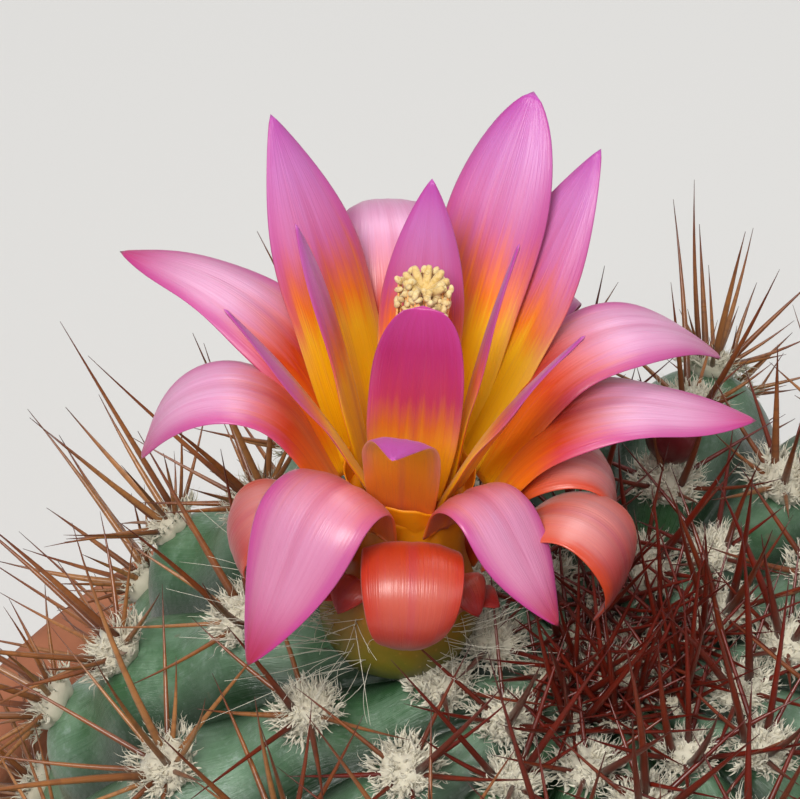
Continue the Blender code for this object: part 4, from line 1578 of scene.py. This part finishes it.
    def add_spines(self, shell: Shell, spines: Spines) -> None:
        """Add spines as tapered rods, leaving out those that would touch the flower.

        Spines that reach past the limit or down to the soil are left out too.

        Args:
            shell: piece that takes them.
            spines: the spines.
        """
        start, way, bend, foot, tone, age = spines
        t = np.linspace(0, 1, 8)
        paths = start[:, None] + way[:, None] * t[:, None] + bend[:, None] * t[:, None] ** 2
        sides = np.hypot(paths[..., 0], paths[..., 1])
        inside = sides.max(axis=1) < self.reach_limit
        inside &= paths[..., 2].min(axis=1) > self.stem.soil_level + 1.5
        guard = self.flower.guard()
        clear = np.ones(len(paths), dtype=bool)
        near = np.linalg.norm(paths[:, 4] - self.flower.base(), axis=1) < 45
        for i in np.flatnonzero(near):
            gap = np.linalg.norm(paths[i][:, None] - guard[None], axis=-1).min()
            clear[i] = gap > self.clearance
        keep = inside & clear
        radii = foot[keep, None] * np.clip(1.0 - t ** 1.6, 0.07, 1) * np.where(t < 0.05, 1.25, 1.0)
        shell.strands(paths[keep], radii, 6, along=t, age=age[keep, None], tone=tone[keep, None])

    def nodes_of(self, rib: int) -> list[str]:
        """CAD areoles on a rib."""
        return sorted(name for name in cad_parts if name.startswith(f"areole_rib{rib + 1:02d}_"))

    def build_rib(self, rib: int, wool: bpy.types.Material, spine: bpy.types.Material) -> None:
        """Build the tufts and the spines of one rib.

        Args:
            rib: number of the rib.
            wool: wool material.
            spine: spine material.
        """
        rng = np.random.default_rng(100 + rib)
        tufts = Shell()
        spikes = Shell()
        sets = []
        for distance in self.stem.rib_rows(rib):
            spot = self.stem.spot(rib + rng.normal(0, 0.02), distance)
            if np.linalg.norm(spot.point - self.flower.base()) < self.bare:
                continue
            age = self.age(distance)
            size = self.pad * rng.uniform(0.92, 1.12) * (1.0 if distance > 14 else 0.88)
            count = int(240 - 150 * smooth(np.array(distance), 30.0, 60.0))
            self.tuft(tufts, spot, size, count, age * 0.6 + 0.4 * float(distance > 60), rng)
            sets.append(self.spines_of(spot, age, rng))
        self.add_spines(spikes, Spines.joined(sets))
        tufts.make(f"wool_rib{rib + 1:02d}", wool, slot="wool")
        spikes.make(f"spines_rib{rib + 1:02d}", spine, self.nodes_of(rib), "spined_wool")

    def build_crown(self, wool: bpy.types.Material, spine: bpy.types.Material) -> None:
        """Build the cushion of wool in the crown and its young spines.

        Args:
            wool: wool material.
            spine: spine material.
        """
        rng = np.random.default_rng(400)
        tufts = Shell()
        spikes = Shell()
        sets = []
        top = self.stem.spot(0, 0.3).point[2] + 0.6
        middle = Spot(*np.array([[0, 0, top], [0, 0, 1.0], [1.0, 0, 0], [0, -1.0, 0]]))
        self.tuft(tufts, middle, 3.6, 360, 1.0, rng)
        for number in range(13):
            distance = 2.2 + 4.4 * (number / 12) ** 0.7
            spot = self.stem.spot(number * self.stem.ribs * 0.382, distance)
            lifted = spot._replace(point=spot.point + spot.normal * 0.6)
            self.tuft(tufts, lifted, 1.4, 110, 1.0, rng)
            sets.append(self.spines_of(lifted, 0.7, rng))
        full = Spines.joined(sets)
        self.add_spines(spikes, full._replace(way=full.way * 0.8, foot=full.foot * 0.85,
                                              tone=full.tone * 0.6, age=np.zeros(len(full.age))))
        tufts.make("crown_fleece", wool, ["crown_wool"], "wool")
        spikes.make("crown_spines", spine, slot="spined_wool")

    def build(self, wool: bpy.types.Material) -> None:
        """Build every areole.

        Args:
            wool: wool material.
        """
        spine = Spine().make()
        for rib in range(self.stem.ribs):
            self.build_rib(rib, wool, spine)
        self.build_crown(wool, spine)


@dataclass
class Bud:
    """The closed bud: an ovoid with five wrapped scale edges."""

    stem: Stem
    rib: int = 12
    row: float = 20.5
    radius: float = 2.1
    length: float = 6.0

    def build(self) -> None:
        """Build the bud: radius * sin(pi * part^0.85)^0.6, with spiral edges."""
        point, normal, _, _ = self.stem.spot(self.rib, self.row)
        axis = unit(normal + np.array([0.0, 0.0, 0.6]))
        part = np.linspace(0.04, 0.97, 40)
        r = self.radius * np.sin(pi * part ** 0.85) ** 0.6
        profile = np.stack([r, self.length * part + 0.4], axis=1)
        rings = turned(profile, 60, point, axis)
        middle = point + profile[:, 1, None, None] * axis
        edge = np.mod(5 * (around(60)[None] / (2 * pi)) + 1.3 * part[:, None], 1.0)
        swell = 1 + 0.09 * (edge - 0.5) * np.sin(pi * part)[:, None]
        rings = middle + (rings - middle) * swell[:, :, None]
        shell = Shell()
        shell.loft(rings, middle[0, 0], middle[-1, 0] + axis * 0.15, along=part[:, None])
        shell.make("closed_bud", BudSkin().make(), ["bud"], "bud_skin")


@dataclass
class Pot:
    """The tapered clay pot with a rim band and a floor hole."""

    height: float = 92.0
    foot: float = 43.0
    taper: float = 0.2
    wall: float = 4.5
    floor: float = 6.0
    band: float = 18.0
    overhang: float = 6.2
    hole: float = 7.0
    sides: int = 176

    def outer(self, height: float) -> float:
        """Outer radius of the wall under the rim band."""
        return self.foot + self.taper * height

    def inner(self, height: float) -> float:
        """Inner radius of the wall."""
        return self.outer(height) - self.wall

    def build(self) -> None:
        """Build the wall: a rounded profile turned round Z, with faint throwing rings."""
        low = self.height - self.band
        rim = self.outer(low) + self.overhang
        corners = [
            (self.hole, 0.0), (self.foot - 1.5, 0.0), (self.outer(1.5), 1.5), (self.outer(30.0), 30.0),
            (self.outer(low), low), (rim - 0.8, low + 0.4), (rim, low + 2.2), (rim, self.height - 2.0),
            (rim - 2.0, self.height), (self.inner(self.height) + 1.5, self.height),
            (self.inner(self.height - 1.5), self.height - 1.5), (self.inner(60.0), 60.0),
            (self.inner(self.floor), self.floor), (self.hole, self.floor),
        ]
        profile = rounded(corners, 1.3, 6, True)
        rings = turned(profile, self.sides)
        marks = 0.05 * np.sin(profile[:, 1] * 1.9) + 0.04 * np.sin(profile[:, 1] * 0.83 + 1.0)
        marks = np.where(profile[:, 0] > self.foot, np.minimum(marks, 0.0), 0.0)
        sway = 0.12 * (ripple(rings, 55.0, 9) - 1.0) * smooth(profile[:, 1], 2.0, 12.0)[:, None]
        out = unit(rings * [1.0, 1.0, 0.0])
        rings = rings + (marks[:, None] + np.minimum(sway, 0))[..., None] * out
        shell = Shell()
        shell.ring_round(rings)
        shell.make("pot_wall", Terracotta().make(), ["pot"], "terracotta")


@dataclass
class Ground:
    """The potting mix with its top dressing of grit."""

    pot: Pot
    stem: Stem
    gap: float = 0.35
    inner: float = 39.8
    grains: int = 1500
    rough: float = 0.16

    def build(self) -> None:
        """Build the mix as one turned body with a crumbly top, and scatter the grit.

        The profile runs up the wall, in over the top and down round the root
        end of the stem, 0.5 mm off its crest.  Two ripples lift and sink the top.
        """
        level = self.stem.soil_level
        along, r, z = self.stem.crest()
        start = along[np.argmax((z < level - 1.0) & (r < self.stem.radius * 0.95))]
        seat_r, seat_z, out_r, out_z = self.stem.crest_at(np.linspace(start, along[-1] - 4.0, 14))
        bottom = self.pot.floor + self.gap
        corners = [(self.pot.inner(bottom) - self.gap, bottom), (self.pot.inner(40.0) - self.gap, 40.0),
                   (self.pot.inner(level - 1.2) - self.gap, level - 1.2)]
        edge = self.pot.inner(level) - self.gap - 0.8
        top = [(r, level - 0.6) for r in np.linspace(edge, seat_r[0] + 0.9, 22)]
        seat = list(zip(seat_r + 0.5 * out_r, seat_z + 0.5 * out_z))
        profile = np.array([(6.0, bottom), *corners, *top, *seat])
        rings = turned(profile, 200)
        crumbs = 0.5 * ripple(rings, 3.1, 3) + 0.35 * ripple(rings, 1.3, 4)
        on_top = np.isclose(profile[:, 1], level - 0.6)[:, None]
        rings[..., 2] += np.where(on_top, np.clip(crumbs, -0.9, 0.6), 0.0)
        shell = Shell()
        shell.loft(rings, np.array([0, 0, bottom]), np.array([0, 0, seat[-1][1] - 1.0]))
        shell.make("potting_mix", Soil().make(), ["soil"], "potting_soil")
        self.scatter(level)

    def scatter(self, level: float) -> None:
        """Scatter uneven grains over the mix, between the stem and the wall.

        Args:
            level: height of the mix.
        """
        rng = np.random.default_rng(21)
        count = self.grains
        size = rng.uniform(0.55, 1.0, count) ** 2 * 2.0
        outer = self.pot.inner(level) - 0.8
        reach = np.sqrt(rng.uniform(self.inner ** 2, outer ** 2, count))
        reach = np.clip(reach, self.inner + size * 0.75, outer - size)
        turn = rng.uniform(0, 2 * pi, count)
        lift = level - 0.5 + size * 0.35 + rng.uniform(0, 0.9, count) * (rng.uniform(size=count) > 0.6)
        centres = np.stack([reach * np.cos(turn), reach * np.sin(turn), lift], axis=1)
        ways = random_turns(rng, count)
        sizes = size[:, None] * rng.uniform(0.5, 1.0, (count, 3))
        shell = Shell()
        shell.grains(centres, ways, sizes, self.rough, tone=rng.uniform(0, 1, count))
        shell.make("top_grit", Grit().make(), slot="potting_soil", sharp=True)


@dataclass(frozen=True)
class Lamp:
    """A square soft light that faces the plant.

    Its azimuth is 0 at the front and grows to the right; its distance and
    side are in metres and its power is in watts.
    """

    name: str
    azimuth: float
    elevation: float
    distance: float
    side: float
    power: float
    color: Color = (1.0, 1.0, 1.0)

    def hang(self) -> None:
        """Make the lamp, aimed at the middle of the plant."""
        data = bpy.data.lights.new(self.name, "AREA")
        data.energy = self.power
        data.size = self.side
        data.color = self.color
        a, e = radians(self.azimuth), radians(self.elevation)
        way = np.array([cos(e) * sin(a), -cos(e) * cos(a), sin(e)])
        made = put(self.name, data)
        made.location = way * self.distance + np.array([0, 0, 0.12])
        made.rotation_euler = look_turn(-way)


@dataclass
class Studio:
    """Pale floor, soft lights and the camera."""

    flower: Flower
    elevation: float = 50.0
    distance: float = 300.0
    lens: float = 191.5
    offset: tuple[float, float, float] = (0.35, 18.0, 14.0)
    half_floor: float = 3.0
    lamps: tuple[Lamp, ...] = (
        Lamp("key", -28.0, 62.0, 0.75, 0.3, 5.2, (1.0, 0.985, 0.96)),
        Lamp("fill", 48.0, 38.0, 0.9, 0.5, 1.4, (0.95, 0.98, 1.0)),
        Lamp("back", 170.0, 45.0, 0.9, 0.4, 2.0),
    )

    def floor(self) -> None:
        """Lay a wide plain floor under the pot."""
        kit = Nodes("studio_floor", roughness=0.6, specular_ior_level=0.2)
        cloud = kit.noise(kit.place(), 3.0, 2.0)
        skin = kit.drive(kit.mix(cloud, (0.72, 0.71, 0.69), (0.76, 0.75, 0.73)))
        corners = np.array([[-1.0, -1.0, 0], [1.0, -1.0, 0], [1.0, 1.0, 0], [-1.0, 1.0, 0]])
        corners *= self.half_floor
        mesh = bpy.data.meshes.new("studio_floor")
        mesh.from_pydata(corners.tolist(), [], [(0, 1, 2, 3)])
        mesh.materials.append(skin)
        sheet = put("studio_floor", mesh)

    def camera(self) -> None:
        """Stand the camera square to the flower's front, looking down on the crown."""
        e = radians(self.elevation)
        right = np.array([1.0, 0.0, 0.0])
        up = np.array([0.0, sin(e), cos(e)])
        back = np.array([0.0, -cos(e), sin(e)])
        a, b, c = self.offset
        target = self.flower.base() + right * a + up * b + back * c
        data = bpy.data.cameras.new("camera")
        data.lens = self.lens
        data.sensor_width = 36.0
        data.clip_start = 0.01
        data.clip_end = 20.0
        eye = put("camera", data)
        eye.location = (target + back * self.distance) * MM
        eye.rotation_euler = (pi / 2 - e, 0.0, 0.0)
        bpy.context.scene.camera = eye

    def world(self) -> None:
        """Fill the room with even pale light."""
        world = bpy.data.worlds.new("room")
        world.use_nodes = True
        ground = world.node_tree.nodes["Background"]
        ground.inputs["Color"].default_value = (0.93, 0.96, 1.0, 1.0)
        ground.inputs["Strength"].default_value = 0.3
        bpy.context.scene.world = world

    def build(self) -> None:
        """Set up floor, lights, room and camera."""
        bpy.context.scene.view_settings.view_transform = "Standard"
        self.floor()
        self.world()
        for lamp in self.lamps:
            lamp.hang()
        self.camera()


def look_turn(way: Array) -> tuple[float, float, float]:
    """Euler angles that turn an object's -Z to a direction.

    Args:
        way: unit direction.

    Returns:
        Angles about X, Y and Z.
    """
    tilt = float(np.arccos(np.clip(-way[2], -1, 1)))
    return tilt, 0.0, float(np.arctan2(way[1], way[0])) - pi / 2


def main() -> None:
    """Build every piece in order."""
    logging.basicConfig(level=logging.INFO, format="%(name)s: %(message)s")
    wool = Wool().make()
    stem = Stem()
    flower = Flower(stem)
    pot = Pot()
    stem.build()
    flower.build(wool)
    Areoles(stem, flower).build(wool)
    Bud(stem).build()
    pot.build()
    Ground(pot, stem).build()
    Studio(flower).build()


if __name__ == "__main__":
    main()
